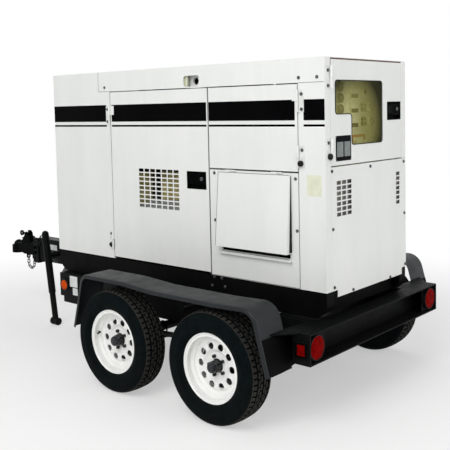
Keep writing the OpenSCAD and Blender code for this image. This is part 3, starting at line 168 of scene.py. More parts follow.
@dataclass(frozen=True)
class Finish:
    """A real material and how its surface was made; pattern sizes are in millimetres.

    Attributes:
        name: the material's name.
        base: its main colour.
        shade: the colour it drifts to in broad clouds.
        cloud: size of those clouds.
        streak: how much longer the clouds are downwards than across.
        rough: middle roughness.
        swing: how far the roughness drifts either way.
        grain: size of the surface grain.
        depth: height of that grain.
        metallic: 1 for bare metal.
        coat: strength of a clear top layer.
        dust: colour of what settles, its share at the ground and the height in metres where it ends.
        flecks: colour of chips, stains or specks, their rough share of the surface and their size.
        alpha: below 1 for a see-through sheet.
        gloss: strength of the mirror layer; 0.5 is a common plastic or varnish.
    """

    name: str
    base: str
    shade: str
    cloud: float = 180.0
    streak: float = 1.0
    rough: float = 0.45
    swing: float = 0.08
    grain: float = 6.0
    depth: float = 0.05
    metallic: float = 0.0
    coat: float = 0.0
    dust: tuple[str, float, float] | None = None
    flecks: tuple[str, float, float] | None = None
    alpha: float = 1.0
    gloss: float = 0.5

    def colour(self, draw: Nodes) -> Socket:
        """Builds the colour: clouds, then flecks, then what settles near the ground."""
        drawn = draw.add("Mapping", {"Vector": draw.place, "Scale": (1, 1, 1 / self.streak)})
        clouds = draw.ramp(draw.noise(self.cloud, drawn.outputs["Vector"]), (0.35, 0.65), (0.0, 1.0))
        tint = draw.blend(clouds, srgb(self.base), srgb(self.shade))
        if self.flecks:
            fleck, share, size = self.flecks
            edge = 0.74 - 0.3 * share
            specks = draw.ramp(draw.noise(size), (edge, edge + 0.06), (0.0, 0.8))
            tint = draw.blend(specks, tint, srgb(fleck))
        if self.dust:
            dust, share, top = self.dust
            height = draw.add("SeparateXYZ", {"Vector": draw.place}).outputs["Z"]
            settled = draw.ramp(height, (top, 0.0), (0.0, share))
            patchy = draw.ramp(draw.noise(70.0), (0.3, 0.7), (0.45, 1.0))
            tint = draw.blend(draw.work("MULTIPLY", settled, patchy), tint, srgb(dust))
        return tint

    def height(self, draw: Nodes) -> Socket:
        """Gives the height of the surface grain, from 0 to 1."""
        return draw.noise(self.grain)

    def opacity(self, draw: Nodes) -> float | Socket:
        """Gives the alpha, the same all over."""
        return self.alpha

    def material(self) -> bpy.types.Material:
        """Makes the material once and hands it out after that."""
        if self.name in bpy.data.materials:
            return bpy.data.materials[self.name]
        made = bpy.data.materials.new(self.name)
        made.use_nodes = True
        made.diffuse_color = srgb(self.base)
        draw = Nodes(made.node_tree)
        span = (max(self.rough - self.swing, 0.03), self.rough + self.swing)
        relief = {"Height": self.height(draw), "Distance": self.depth * MM, "Strength": 1.0}
        draw.feed(draw.tree.nodes["Principled BSDF"], {
            "Base Color": self.colour(draw),
            "Roughness": draw.ramp(draw.noise(self.cloud * 0.4), (0.3, 0.7), span),
            "Normal": draw.add("Bump", relief).outputs["Normal"],
            "Metallic": self.metallic,
            "Coat Weight": self.coat,
            "Alpha": self.opacity(draw),
            "Specular IOR Level": self.gloss,
        })
        return made


@dataclass(frozen=True)
class Ribbed(Finish):
    """A finish with straight ribs or fins, such as a lamp lens or a radiator core.

    Attributes:
        pitch: spacing of the ribs in millimetres.
        along: axis that the ribs are spaced along.
    """

    pitch: float = 6.0
    along: str = "Z"

    def height(self, draw: Nodes) -> Socket:
        """Gives the ribs' height; a wave's period is a tenth of pi over its scale."""
        feeds = {"Vector": draw.place, "Scale": math.pi / 10 / (self.pitch * MM), "Distortion": 0.0}
        return draw.add("TexWave", feeds, bands_direction=self.along).outputs["Fac"]

    def colour(self, draw: Nodes) -> Socket:
        """Paints shade into the hollows between the ribs, in the shade colour."""
        rib_shade = draw.ramp(self.height(draw), (0.0, 0.6), (0.55, 0.0))
        return draw.blend(rib_shade, super().colour(draw), srgb(self.shade))


@dataclass(frozen=True)
class Cellular(Finish):
    """A finish with open cells, such as acoustic foam."""

    def height(self, draw: Nodes) -> Socket:
        """Gives the walls and hollows of the cells."""
        feeds = {"Vector": draw.place, "Scale": 1 / (self.grain * MM)}
        return draw.add("TexVoronoi", feeds).outputs["Distance"]

    def colour(self, draw: Nodes) -> Socket:
        """Paints shade into the bottoms of the cells, in the shade colour."""
        cell_shade = draw.ramp(self.height(draw), (0.1, 0.6), (0.7, 0.0))
        return draw.blend(cell_shade, super().colour(draw), srgb(self.shade))


@dataclass(frozen=True)
class Hazed(Finish):
    """A see-through sheet with painted shade: it grows darker and less clear away from its clearest place.

    Attributes:
        middle: the clearest place, in metres.
        reach: nearest and farthest distance from there over which the painted shade deepens, in metres.
        rim: colour of the painted shade at the far end.
        edge: alpha at the far end.
    """

    middle: Triple = (0.0, 0.0, 0.0)
    reach: Pair = (0.070, 0.310)
    rim: str = "#2a2912"
    edge: float = 0.55

    def haze(self, draw: Nodes, ends: Pair) -> Socket:
        """Gives the painted shade's share, which runs from one end to the other over the reach."""
        away = draw.add("VectorMath", {0: draw.place, 1: self.middle}, operation="DISTANCE")
        return draw.ramp(away.outputs["Value"], self.reach, ends)

    def colour(self, draw: Nodes) -> Socket:
        """Paints shade that darkens the sheet towards its rim."""
        return draw.blend(self.haze(draw, (0.0, 1.0)), super().colour(draw), srgb(self.rim))

    def opacity(self, draw: Nodes) -> Socket:
        """Gives the alpha, which rises with the painted shade."""
        return self.haze(draw, (self.alpha, self.edge))


# Polyester powder coat on sheet steel: a soft sheen with faint orange peel, rain streaks and a few scuffs.
# The peel is about 2 mm on the real panels and is drawn at 7 mm so that it shows.
CABINET = Finish("white_powder_coat", "#e8e9e6", "#e2e4e0", cloud=190, streak=5, rough=0.42, grain=7,
                 dust=("#a69d8b", 0.45, 0.93), flecks=("#a3a19a", 0.03, 22))
# The same coat over cast and folded hinges, a little more worn.
HINGE = Finish("white_hinge_enamel", "#e6e7e4", "#d2d3cd", cloud=40, rough=0.4, grain=5, depth=0.04,
               flecks=("#8a7a68", 0.06, 9))
# Brushed-on black chassis enamel over hot-rolled steel: satin, with road dust low down and small stone chips.
CHASSIS = Finish("black_chassis_enamel", "#060707", "#0c0d0e", cloud=120, rough=0.48, grain=5, depth=0.12,
                 gloss=0.06, dust=("#39342e", 0.16, 0.60), flecks=("#2c2824", 0.04, 10))
# The same enamel on the skid, cleaner and darker.
SKID = Finish("black_skid_enamel", "#030303", "#060606", cloud=160, rough=0.55, depth=0.1, gloss=0.05,
              flecks=("#141312", 0.04, 12))
# Satin black on pressed steel fenders, greyed by sun and dust.
FENDER = Finish("sun_greyed_fender_paint", "#0e1316", "#171c1f", cloud=210, rough=0.42, grain=5, depth=0.07,
                gloss=0.26, dust=("#2b2925", 0.2, 0.6), flecks=("#282d30", 0.05, 14))
# Rubber of radial trailer tyres: the sidewall is dark and faintly blue, the tread carries dried mud.
SIDEWALL = Finish("sidewall_rubber", "#04090a", "#091012", cloud=60, rough=0.62, grain=4, depth=0.12,
                  gloss=0.03, dust=("#1e1c19", 0.15, 0.45))
TREAD = Finish("muddy_tread_rubber", "#252523", "#34322e", cloud=28, rough=0.85, grain=5, depth=0.5,
               gloss=0.08, flecks=("#5c574e", 0.38, 16))
# Baked white wheel enamel with a little brake dust low down.
WHEEL = Finish("white_wheel_enamel", "#f3f3f0", "#ecece8", cloud=90, rough=0.36, depth=0.04,
               dust=("#8b7f6d", 0.04, 0.5), flecks=("#a39a8c", 0.02, 11))
# Glossy black paint on cast hubs and plated nuts.
HUB = Finish("black_hub_enamel", "#0a0b0c", "#141618", cloud=25, rough=0.3, grain=4, depth=0.1, coat=0.2,
             gloss=0.3, flecks=("#443c35", 0.1, 8))
# Drawn dust cap: dull zinc under a film of black grease.
DUST_CAP = Finish("greasy_zinc_cap", "#3a3d40", "#1c1d1f", cloud=18, rough=0.32, metallic=0.7, grain=4,
                  depth=0.1, flecks=("#101011", 0.3, 10))
# Forged coupler under chipped black paint, rust in the chips.
COUPLER = Finish("chipped_coupler_paint", "#040505", "#0a0b0b", cloud=45, rough=0.5, grain=5, depth=0.2,
                 gloss=0.02, flecks=("#2a1f18", 0.1, 12))
# Scale-blue spring steel with rust bloom.
SPRING = Finish("rusty_spring_steel", "#26272a", "#3c2f27", cloud=55, rough=0.6, metallic=0.35, grain=4,
                depth=0.2, flecks=("#5f4030", 0.25, 14))
# Zinc-plated chain, dulled grey.
CHAIN = Finish("dull_zinc_plate", "#75797b", "#55585a", cloud=18, rough=0.42, metallic=0.85, grain=3,
               flecks=("#6a4c36", 0.1, 7))
# Bright zinc on screws, with dark grime in patches.
SCREW = Finish("grimy_zinc_screw", "#6f7173", "#3f4041", cloud=12, rough=0.38, metallic=0.75, grain=3,
               depth=0.03)
# Moulded black ABS lamp housings: fine even texture.
LAMP = Finish("black_abs", "#0a0b0c", "#131415", cloud=40, rough=0.4, grain=3, gloss=0.25)
# Red and amber acrylic lenses, moulded with ribs that break the light into bands; the hollows between the
# ribs carry painted shade.
RED_LENS = Ribbed("red_acrylic_lens", "#8e0604", "#5c0202", cloud=30, rough=0.3, swing=0.04, depth=0.4,
                  gloss=0.005, pitch=7, along="Y")
AMBER_LENS = Ribbed("amber_acrylic_lens", "#e0530c", "#b03c06", cloud=30, rough=0.3, swing=0.04, depth=0.4,
                    gloss=0.03, pitch=7, along="X")
# Aged polycarbonate: yellowed and hazy, with painted shade that darkens it and makes it less clear towards
# its edges.
PANE = Hazed("yellowed_polycarbonate", "#dcd882", "#c2be68", cloud=190, streak=2.5, rough=0.2, swing=0.06,
             grain=40, gloss=0.04, alpha=0.12, middle=(-1.877, 0.14, 1.72))
# Glass-filled nylon latch pans, paddles and lamp bezels: near black with a soft moulded sheen.
NYLON = Finish("black_nylon", "#040505", "#08090a", cloud=30, rough=0.4, grain=3, depth=0.06, gloss=0.01)
# Vulcanised rubber of door stops, trims, gaskets and grommets.
RUBBER = Finish("black_rubber", "#080809", "#0f0f10", cloud=15, rough=0.6, grain=3, depth=0.1, gloss=0.2)
# Grey polyurethane sealer in the joints of fixed panels.
SEALER = Finish("grey_seam_sealer", "#7d807d", "#6b6e6b", cloud=30, rough=0.6, grain=4, depth=0.1)
# Rust that has crept along a raw sheet edge and stained the paint beside it.
RUST = Finish("rust_stained_edge", "#4a2a20", "#6d4a3c", cloud=25, rough=0.75, grain=3, depth=0.2,
              gloss=0.1, flecks=("#9a8274", 0.25, 9))
# Black vinyl film, weathered matt, with slight ripples.
VINYL = Finish("black_vinyl_film", "#010102", "#040405", cloud=260, rough=0.4, swing=0.05, grain=60,
               depth=0.06, gloss=0.02)
# Polyurethane acoustic foam, yellowed; real cells are about 1 mm and are drawn at 6 mm, with painted shade in
# their bottoms.
FOAM = Cellular("yellow_acoustic_foam", "#d2c68a", "#968a55", cloud=110, rough=0.95, swing=0.03, depth=2.0)
# The same foam behind the rear vents, grey with soot.
SOOTY_FOAM = Cellular("sooty_acoustic_foam", "#95928a", "#5e5c55", cloud=60, rough=0.95, swing=0.03,
                      depth=2.0)
# Galvanised sheet inside the ducts: pale grey with spangle.
GALVANISED = Finish("galvanised_sheet", "#b9bdbf", "#9ea3a6", cloud=22, rough=0.5, metallic=0.4, grain=9,
                    depth=0.02)
# Bare aluminium plate, rolled: fine lines along its length, with painted shade in their hollows.
ALUMINIUM = Ribbed("rolled_aluminium", "#828a88", "#727977", cloud=40, rough=0.42, metallic=0.55,
                   depth=0.02, pitch=4)
# Black anodised bands of the same plate.
ANODISED = Finish("black_anodised_aluminium", "#07080a", "#0d0f11", cloud=30, rough=0.4, grain=3,
                  gloss=0.02)
# Plain cream film, faded by the sun; the lifting pans' primer has the same colour.
CARD = Finish("faded_cream_film", "#e3e4cf", "#d6d8bd", cloud=35, rough=0.35, grain=12, depth=0.03)
# White plastic number-plate blank.
BLANK = Finish("white_plate_plastic", "#dfe2e0", "#cdd1ce", cloud=45, rough=0.4, grain=8,
               dust=("#7d7364", 0.25, 0.62))
# Instrument panel: beige stove enamel.
PANEL = Finish("beige_stove_enamel", "#f2efc4", "#e8e5b6", cloud=160, rough=0.5)
# Tinplate dials, and moulded phenolic bezels, knobs and keys.
DIAL = Finish("grey_dial_face", "#3a3a2e", "#303026", cloud=30, rough=0.5, grain=5, gloss=0.1)
BEZEL = Finish("dark_instrument_bezel", "#16160f", "#10100b", cloud=25, rough=0.35, grain=4, gloss=0.1)
# Switch plates: olive-grey hammered enamel.
PLATE = Finish("olive_switch_plate", "#7f7d5e", "#727052", cloud=30, rough=0.5, grain=4, depth=0.1)
# White and orange enamel on pointers and lines.
POINTER = Finish("white_pointer_enamel", "#d8d8cc", "#c8c8bb", cloud=20, rough=0.5)
ORANGE = Finish("orange_line_enamel", "#c7701d", "#b86216", cloud=40, rough=0.5)
# Phenolic board with its brown-black weave.
BOARD = Finish("brown_phenolic_board", "#3a2f28", "#2c241f", cloud=35, rough=0.4, grain=4, depth=0.1)
# Cast iron and pressed steel under grey-green engine enamel, with oily streaks.
ENGINE = Finish("grey_green_engine_enamel", "#46564c", "#374339", cloud=70, streak=2, depth=0.4,
                flecks=("#201d18", 0.22, 30))
# A greyer coat of the same on the alternator.
ALTERNATOR = Finish("grey_alternator_enamel", "#5c6a62", "#4b574f", cloud=90, rough=0.48, grain=7,
                    depth=0.3, flecks=("#2a2a26", 0.12, 26))
# Radiator core: black-painted brass fins; 3 mm fins are drawn at 9 mm, with painted shade between them.
CORE = Ribbed("black_radiator_fins", "#2a2d30", "#0f1011", cloud=80, rough=0.55, metallic=0.3, depth=2.0,
              pitch=9)
# Pressed steel fan blades under yellow enamel.
FAN = Finish("yellow_fan_enamel", "#caa42a", "#a98720", cloud=60, flecks=("#4a4130", 0.15, 14))
# Aluminised muffler with heat-brown patches.
MUFFLER = Finish("heat_browned_aluminised_steel", "#80786c", "#5a4a3c", cloud=80, rough=0.5, metallic=0.7,
                 grain=5, depth=0.1, flecks=("#5b3a26", 0.3, 24))
# Moulded polypropylene air box with a fine matt texture.
CLEANER = Finish("moulded_air_box", "#202326", "#2b2f33", cloud=70, rough=0.5, grain=4, depth=0.1)
# Moulded polypropylene battery case.
BATTERY = Finish("black_polypropylene", "#141618", "#202326", cloud=50, rough=0.42, grain=5, depth=0.06)

SLOTS: dict[str, Finish] = {
    "frame_paint": CHASSIS, "fender_paint": FENDER, "skid_paint": SKID, "cabinet_paint": CABINET,
    "hinge_paint": HINGE, "instrument_paint": PANEL, "coupler_paint": COUPLER, "spring_steel": SPRING,
    "chain_steel": CHAIN, "lamp_plastic": LAMP, "red_lens": RED_LENS, "amber_lens": AMBER_LENS,
    "tyre_rubber": SIDEWALL, "wheel_paint": WHEEL, "hub_iron": HUB, "window_pane": PANE,
    "latch_plastic": NYLON, "board_plastic": BOARD, "engine_paint": ENGINE, "alternator_paint": ALTERNATOR,
    "radiator_metal": CORE, "fan_plastic": FAN, "muffler_steel": MUFFLER, "cleaner_plastic": CLEANER,
    "battery_plastic": BATTERY,
}


def rest() -> None:
    """Leaves edit mode and deselects every object."""
    if bpy.context.mode != "OBJECT":
        bpy.ops.object.mode_set(mode="OBJECT")
    bpy.ops.object.select_all(action="DESELECT")


def hold(piece: Thing) -> Thing:
    """Selects one piece alone and makes it active."""
    rest()
    piece.select_set(True)
    bpy.context.view_layer.objects.active = piece
    return piece


def enter(piece: Thing, kind: str) -> bmesh.types.BMesh:
    """Opens a piece in edit mode with nothing selected, for picking its faces, edges or points."""
    hold(piece)
    bpy.ops.object.mode_set(mode="EDIT")
    bpy.ops.mesh.select_mode(type=kind)
    bpy.ops.mesh.select_all(action="DESELECT")
    return bmesh.from_edit_mesh(piece.data)


def settle(piece: Thing, name: str) -> Thing:
    """Names a piece and moves its place, turn and size into its mesh."""
    hold(piece)
    piece.name = piece.data.name = name
    bpy.ops.object.transform_apply(location=True, rotation=True, scale=True)
    return piece


def block(name: str, low: Sequence[float], high: Sequence[float]) -> Thing:
    """Adds a cube that fills the box between two corners, to be shaped further."""
    rest()
    bpy.ops.mesh.primitive_cube_add(size=1.0, location=(Vector(low) + Vector(high)) / 2)
    bpy.context.object.scale = Vector(high) - Vector(low)
    return settle(bpy.context.object, name)


def pick(piece: Thing, test: Test) -> None:
    """Opens a piece in edit mode with only some of its faces selected.

    Args:
        piece: the piece to open.
        test: says from a face's centre and normal whether it is selected.
    """
    mesh = enter(piece, "FACE")
    for face in [face for face in mesh.faces if test(face.calc_center_median(), face.normal)]:
        face.select_set(True)
    bmesh.update_edit_mesh(piece.data)


def mark(piece: Thing, test: Callable[[Vector], bool]) -> None:
    """Opens a piece with only the points selected that pass a test, and the edges between them."""
    mesh = enter(piece, "VERT")
    for point in mesh.verts:
        point.select_set(test(point.co))
    mesh.select_flush_mode()
    bmesh.update_edit_mesh(piece.data)


def push(value: Sequence[float]) -> None:
    """Extrudes the selection by a vector."""
    bpy.ops.mesh.extrude_region_move(TRANSFORM_OT_translate={"value": value})


def outward() -> None:
    """Merges doubled points and turns all faces of the open piece outwards."""
    bpy.ops.mesh.select_all(action="SELECT")
    bpy.ops.mesh.remove_doubles(threshold=1e-6)
    bpy.ops.mesh.normals_make_consistent(inside=False)
    rest()


def sink(piece: Thing, test: Test, rim: float, step: Sequence[float]) -> None:
    """Insets the faces that pass a test by a rim, moves what is inside it and closes the piece."""
    pick(piece, test)
    bpy.ops.mesh.inset(thickness=rim)
    push(step)
    outward()


def shift(step: Sequence[float]) -> None:
    """Moves what is selected of the open piece and closes it."""
    bpy.ops.transform.translate(value=step)
    outward()


def modify(piece: Thing, kind: str, **settings: object) -> Thing:
    """Adds a modifier with its settings and applies it."""
    hold(piece)
    made = piece.modifiers.new(kind.title(), kind)
    for key, value in settings.items():
        setattr(made, key, value)
    bpy.ops.object.modifier_apply(modifier=made.name)
    return piece


def soften(piece: Thing, width: float, segments: int = 2) -> Thing:
    """Rounds the sharp edges of a piece and shades it smooth by angle."""
    modify(piece, "BEVEL", width=width, segments=segments, limit_method="ANGLE", angle_limit=math.radians(40))
    return smooth(piece)


def chain(name: str, points: Sequence[Sequence[float]]) -> Thing:
    """Draws a line of points by extruding one point from place to place.

    Args:
        name: the wire's name.
        points: the places in order.
    Returns:
        The wire, open in edit mode with all of it selected.
    """
    rest()
    bpy.ops.mesh.primitive_plane_add(size=MM)
    piece = bpy.context.object
    piece.name = piece.data.name = name
    bpy.ops.object.mode_set(mode="EDIT")
    bpy.ops.mesh.select_mode(type="VERT")
    bpy.ops.mesh.select_all(action="SELECT")
    bpy.ops.mesh.merge(type="CENTER")
    bpy.ops.transform.translate(value=points[0])
    for before, after in zip(points, points[1:]):
        push(Vector(after) - Vector(before))
    bpy.ops.mesh.select_all(action="SELECT")
    return piece


def tube(name: str, points: Sequence[Sequence[float]], radius: float) -> Thing:
    """Draws a round bar along a line of points, with closed ends."""
    hold(chain(name, points))
    bpy.ops.object.convert(target="CURVE")
    wire = bpy.context.object.data
    wire.bevel_depth = radius
    wire.bevel_resolution = 3
    wire.use_fill_caps = True
    bpy.ops.object.convert(target="MESH")
    return settle(smooth(bpy.context.object, 40.0), name)


def turned(name: str, profile: Sequence[Pair], steps: int, closed: bool = False) -> Thing:
    """Draws a profile by extruding a point, and spins it round Z.

    Args:
        name: the piece's name.
        profile: radius and height of each point.
        steps: how many steps the spin has.
        closed: joins the last point to the first.
    Returns:
        The turned piece, at the origin.
    """
    points = [*profile, profile[0]] if closed else list(profile)
    piece = chain(name, [(radius, 0.0, height) for radius, height in points])
    bpy.ops.mesh.spin(steps=steps, angle=2 * math.pi, center=(0, 0, 0), axis=(0, 0, 1))
    outward()
    return settle(piece, name)


def copies(piece: Thing, name: str, places: Iterable[Matrix]) -> Thing:
    """Copies a modelled piece to each place and joins the copies.

    Args:
        piece: the pattern, which is used up.
        name: name of the joined piece.
        places: where each copy goes.
    Returns:
        One piece with its own mesh.
    """
    made = [twin(piece, "copy", place) for place in places]
    bpy.data.objects.remove(piece)
    return join(name, made)


def join(name: str, pieces: Sequence[Thing]) -> Thing:
    """Joins pieces into the first one and names it."""
    hold(pieces[0])
    for piece in pieces:
        piece.select_set(True)
    if len(pieces) > 1:
        bpy.ops.object.join()
    return settle(pieces[0], name)


def twin(piece: Thing, name: str, place: Matrix) -> Thing:
    """Gives a copy of a pattern with its own mesh, at a place."""
    made = piece.copy()
    made.data = piece.data.copy()
    bpy.context.scene.collection.objects.link(made)
    made.data.transform(place)
    if place.determinant() < 0:
        made.data.flip_normals()
    return settle(made, name)


def paint(piece: Thing, finish: Finish, test: Test) -> None:
    """Gives the faces that pass a test a further finish."""
    piece.data.materials.append(finish.material())
    pick(piece, test)
    piece.active_material_index = len(piece.data.materials) - 1
    bpy.ops.object.material_slot_assign()
    rest()


def smooth(piece: Thing, angle: float = 35.0) -> Thing:
    """Shades a piece smooth except over sharper edges than the angle."""
    hold(piece)
    bpy.ops.object.shade_smooth_by_angle(angle=math.radians(angle))
    return piece


def dress(piece: Thing, finish: Finish, body: str = "trailer") -> Thing:
    """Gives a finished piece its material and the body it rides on."""
    if not piece.data.materials:
        piece.data.materials.append(finish.material())
    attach(piece, body)
    log.info("%s: %s on %s, %d faces", piece.name, finish.name, body, len(piece.data.polygons))
    return piece


def both(piece: Thing, name: str, finish: Finish, body: str = "trailer") -> dict[Side, Thing]:
    """Dresses a left-hand piece and its right-hand twin.

    Args:
        piece: the left-hand piece.
        name: name of both, with braces for the side.
        finish: their finish.
        body: the body they ride on, with braces where it has a side.
    Returns:
        Both pieces by their side.
    """
    right = twin(piece, name.format("right"), Matrix.Diagonal((1, -1, 1, 1)))
    pair = {Side.RIGHT: right, Side.LEFT: settle(piece, name.format("left"))}
    for side, made in pair.items():
        dress(made, finish, body.format(side.word))
    return pair


def film(name: str, low: Sequence[float], high: Sequence[float], corner: float, thick: float) -> Thing:
    """Makes a thin sheet with rounded corners on a wall that faces along Y or X.

    Args:
        name: the piece's name.
        low: lowest corner; the flat axis has the same value as in high.
        high: highest corner.
        corner: corner radius.
        thick: thickness, which stands out from the wall.
    Returns:
        The sheet, standing proud of the given plane.
    """
    flat = 0 if low[0] == high[0] else 1
    sign = -1.0 if flat == 0 else math.copysign(1.0, low[1])
    first, last = list(low), list(high)
    (first if sign < 0 else last)[flat] += sign * thick
    piece = block(name, first, last)
    mesh = enter(piece, "EDGE")
    for edge in mesh.edges:
        way = edge.verts[1].co - edge.verts[0].co
        edge.select_set(abs(way[flat]) > 0.5 * thick)
    bmesh.update_edit_mesh(piece.data)
    bpy.ops.mesh.bevel(offset=corner, segments=4, affect="EDGES")
    rest()
    return piece


def sheets(name: str, spans: Iterable[Sequence[Sequence[float]]], corner: float, thick: float) -> Thing:
    """Makes a film between each pair of corners and joins them."""
    return join(name, [film("sheet", low, high, corner, thick) for low, high in spans])


@dataclass
class Cabinet:
    """Main planes of the cabinet, read from the solids, and the pins of its side doors.

    Attributes:
        side: distance of the side walls from the middle plane.
        rear: plane of the rear wall.
        front: plane of the front wall.
        top: height of the roof.
        pins: places along the trailer of the rear and the front doors' hinge pins.
    """

    side: float = 0.0
    rear: float = 0.0
    front: float = 0.0
    top: float = 0.0
    pins: Pair = (-1.692, -0.029)

    def __post_init__(self) -> None:
        """Reads the planes from the roof and the front wall."""
        low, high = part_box("roof")
        self.side = high.y
        self.top = high.z
        self.rear = low.x
        self.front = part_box("front_panels")[1].x


@dataclass
class Camera:
    """The photograph's viewpoint, from the positions of known corners in it.

    Attributes:
        place: position in metres.
        yaw: heading from +X, in degrees.
        pitch: upward tilt.
        roll: turn about the view axis.
        focal: focal length in pixels of a 450-pixel frame.
        row: pixel row that the view axis meets.
        frame: width and height of the picture in pixels.
    """

    place: Triple = (-4.316, 4.137, 1.829)
    yaw: float = -48.90
    pitch: float = -4.24
    roll: float = -1.25
    focal: float = 770.2
    row: float = 165.0
    frame: float = 450.0

    def build(self) -> None:
        """Makes the camera and hands it to the scene."""
        data = bpy.data.cameras.new("camera")
        made = bpy.data.objects.new("camera", data)
        bpy.context.scene.collection.objects.link(made)
        yaw, pitch, roll = (math.radians(a) for a in (self.yaw, self.pitch, self.roll))
        ahead = Vector((math.cos(yaw) * math.cos(pitch), math.sin(yaw) * math.cos(pitch), math.sin(pitch)))
        level = Vector((math.sin(yaw), -math.cos(yaw), 0.0))
        above = level.cross(ahead)
        right = level * math.cos(roll) + above * math.sin(roll)
        up = above * math.cos(roll) - level * math.sin(roll)
        turn = Matrix((right, up, -ahead)).transposed()
        made.matrix_world = Matrix.Translation(self.place) @ turn.to_4x4()
        data.sensor_width = 36.0
        data.lens = self.focal / self.frame * data.sensor_width
        data.shift_y = (self.row - self.frame / 2) / self.frame
        data.clip_end = 200.0
        bpy.context.scene.camera = made


@dataclass
class Studio:
    """Plain pale floor, white surround and soft light.

    Attributes:
        reach: half width of the floor.
        drop: how far the floor lies below the tyres.
        clear: distance from the middle where the floor has faded to the surround.
        start: share of that distance where the fading begins.
        pale: share of the surround's white in the floor before that.
        sky: level of the even light.
        key: power of the large soft lamp behind the camera.
        fill: power of the lamps towards the rear face and the front.
    """

    reach: float = 40.0
    drop: float = 0.0005
    clear: float = 4.6
    start: float = 0.42
    pale: float = 0.45
    sky: float = 0.40
    key: float = 360.0
    fill: float = 120.0

    def seen(self, draw: Nodes) -> Socket:
        """Tells 1 for rays that show the surround: camera, glossy and transmitted ones."""
        path = draw.add("LightPath", {}).outputs
        shown = draw.work("MAXIMUM", path["Is Camera Ray"], path["Is Glossy Ray"])
        return draw.work("MAXIMUM", shown, path["Is Transmission Ray"])

    def surround(self) -> None:
        """Sets the white surround, with its own level for lighting."""
        world = bpy.data.worlds.new("surround")
        bpy.context.scene.world = world
        world.use_nodes = True
        world.node_tree.nodes.clear()
        draw = Nodes(world.node_tree)
        even = draw.add("Background", {"Color": srgb("#fbfcff"), "Strength": self.sky})
        white = draw.add("Background", {"Color": (1, 1, 1, 1), "Strength": 1.0})
        draw.close("OutputWorld", self.seen(draw), even, white)

    def floor(self) -> None:
        """Lays the floor, which keeps the shadow near the trailer and fades to white."""
        rest()
        wide, under = 2 * self.reach, (0, 0, -self.drop)
        bpy.ops.mesh.primitive_grid_add(x_subdivisions=8, y_subdivisions=8, size=wide, location=under)
        ground = settle(bpy.context.object, "studio_floor")
        made = bpy.data.materials.new("pale_floor")
        made.use_nodes = True
        made.node_tree.nodes.clear()
        draw = Nodes(made.node_tree)
        far = draw.add("VectorMath", {0: draw.place}, operation="LENGTH").outputs["Value"]
        span = (self.clear * self.start, self.clear)
        fade = draw.ramp(far, span, (self.pale, 1.0), interpolation_type="SMOOTHSTEP")
        matt = draw.add("BsdfDiffuse", {"Color": srgb("#f4f4f2")})
        glow = draw.add("Emission", {"Color": (1, 1, 1, 1), "Strength": 1.0})
        draw.close("OutputMaterial", draw.work("MULTIPLY", fade, self.seen(draw)), matt, glow)
        ground.data.materials.append(made)

    def lamp(self, name: str, place: Triple, aim: Triple, size: float, power: float) -> None:
        """Hangs one large square lamp that faces a point."""
        data = bpy.data.lights.new(name, "AREA")
        data.size = size
        data.energy = power
        made = bpy.data.objects.new(name, data)
        bpy.context.scene.collection.objects.link(made)
        made.location = place
        made.rotation_euler = (Vector(aim) - Vector(place)).to_track_quat("-Z", "Y").to_euler()

    def build(self) -> None:
        """Sets up surround, floor and lamps."""
        bpy.context.scene.view_settings.view_transform = "Standard"
        self.surround()
        self.floor()
        self.lamp("key_lamp", (-2.6, 5.9, 5.8), (-0.5, 0.0, 1.0), 5.0, self.key)
        self.lamp("rear_lamp", (-7.5, -0.5, 3.2), (-1.8, 0.0, 1.2), 4.0, self.fill)
        self.lamp("front_lamp", (6.0, -4.0, 5.0), (0.0, 0.0, 1.0), 5.0, self.fill)


@dataclass
class Stripes:
    """Black band with a thin line below it, in film on each panel and door of both sides.

    Attributes:
        band: lower and upper edge of the band.
        line: lower and upper edge of the line.
        thick: thickness of the film.
    """

    cab: Cabinet
    band: Pair = (1.747, 1.868)
    line: Pair = (1.711, 1.724)
    thick: float = 0.0004

    def build(self) -> None:
        """Cuts the film to each panel's own span."""
        spans = {
            "front_panel": ("trailer", 0.011, self.cab.front - MM),
            "front_door": ("{}_front_door", -0.969, -0.045),
            "rear_door": ("{}_rear_door", -1.668, -0.990),
            "rear_post": ("trailer", self.cab.rear + MM, -1.730),
        }
        for side in Side:
            y = self.cab.side * side.value
            for place, (body, x0, x1) in spans.items():
                edges = [((x0, y, low), (x1, y, high)) for low, high in (self.band, self.line)]
                made = sheets(f"{side.word}_{place}_stripe", edges, 0.002, self.thick)
                dress(made, VINYL, body.format(side.word))


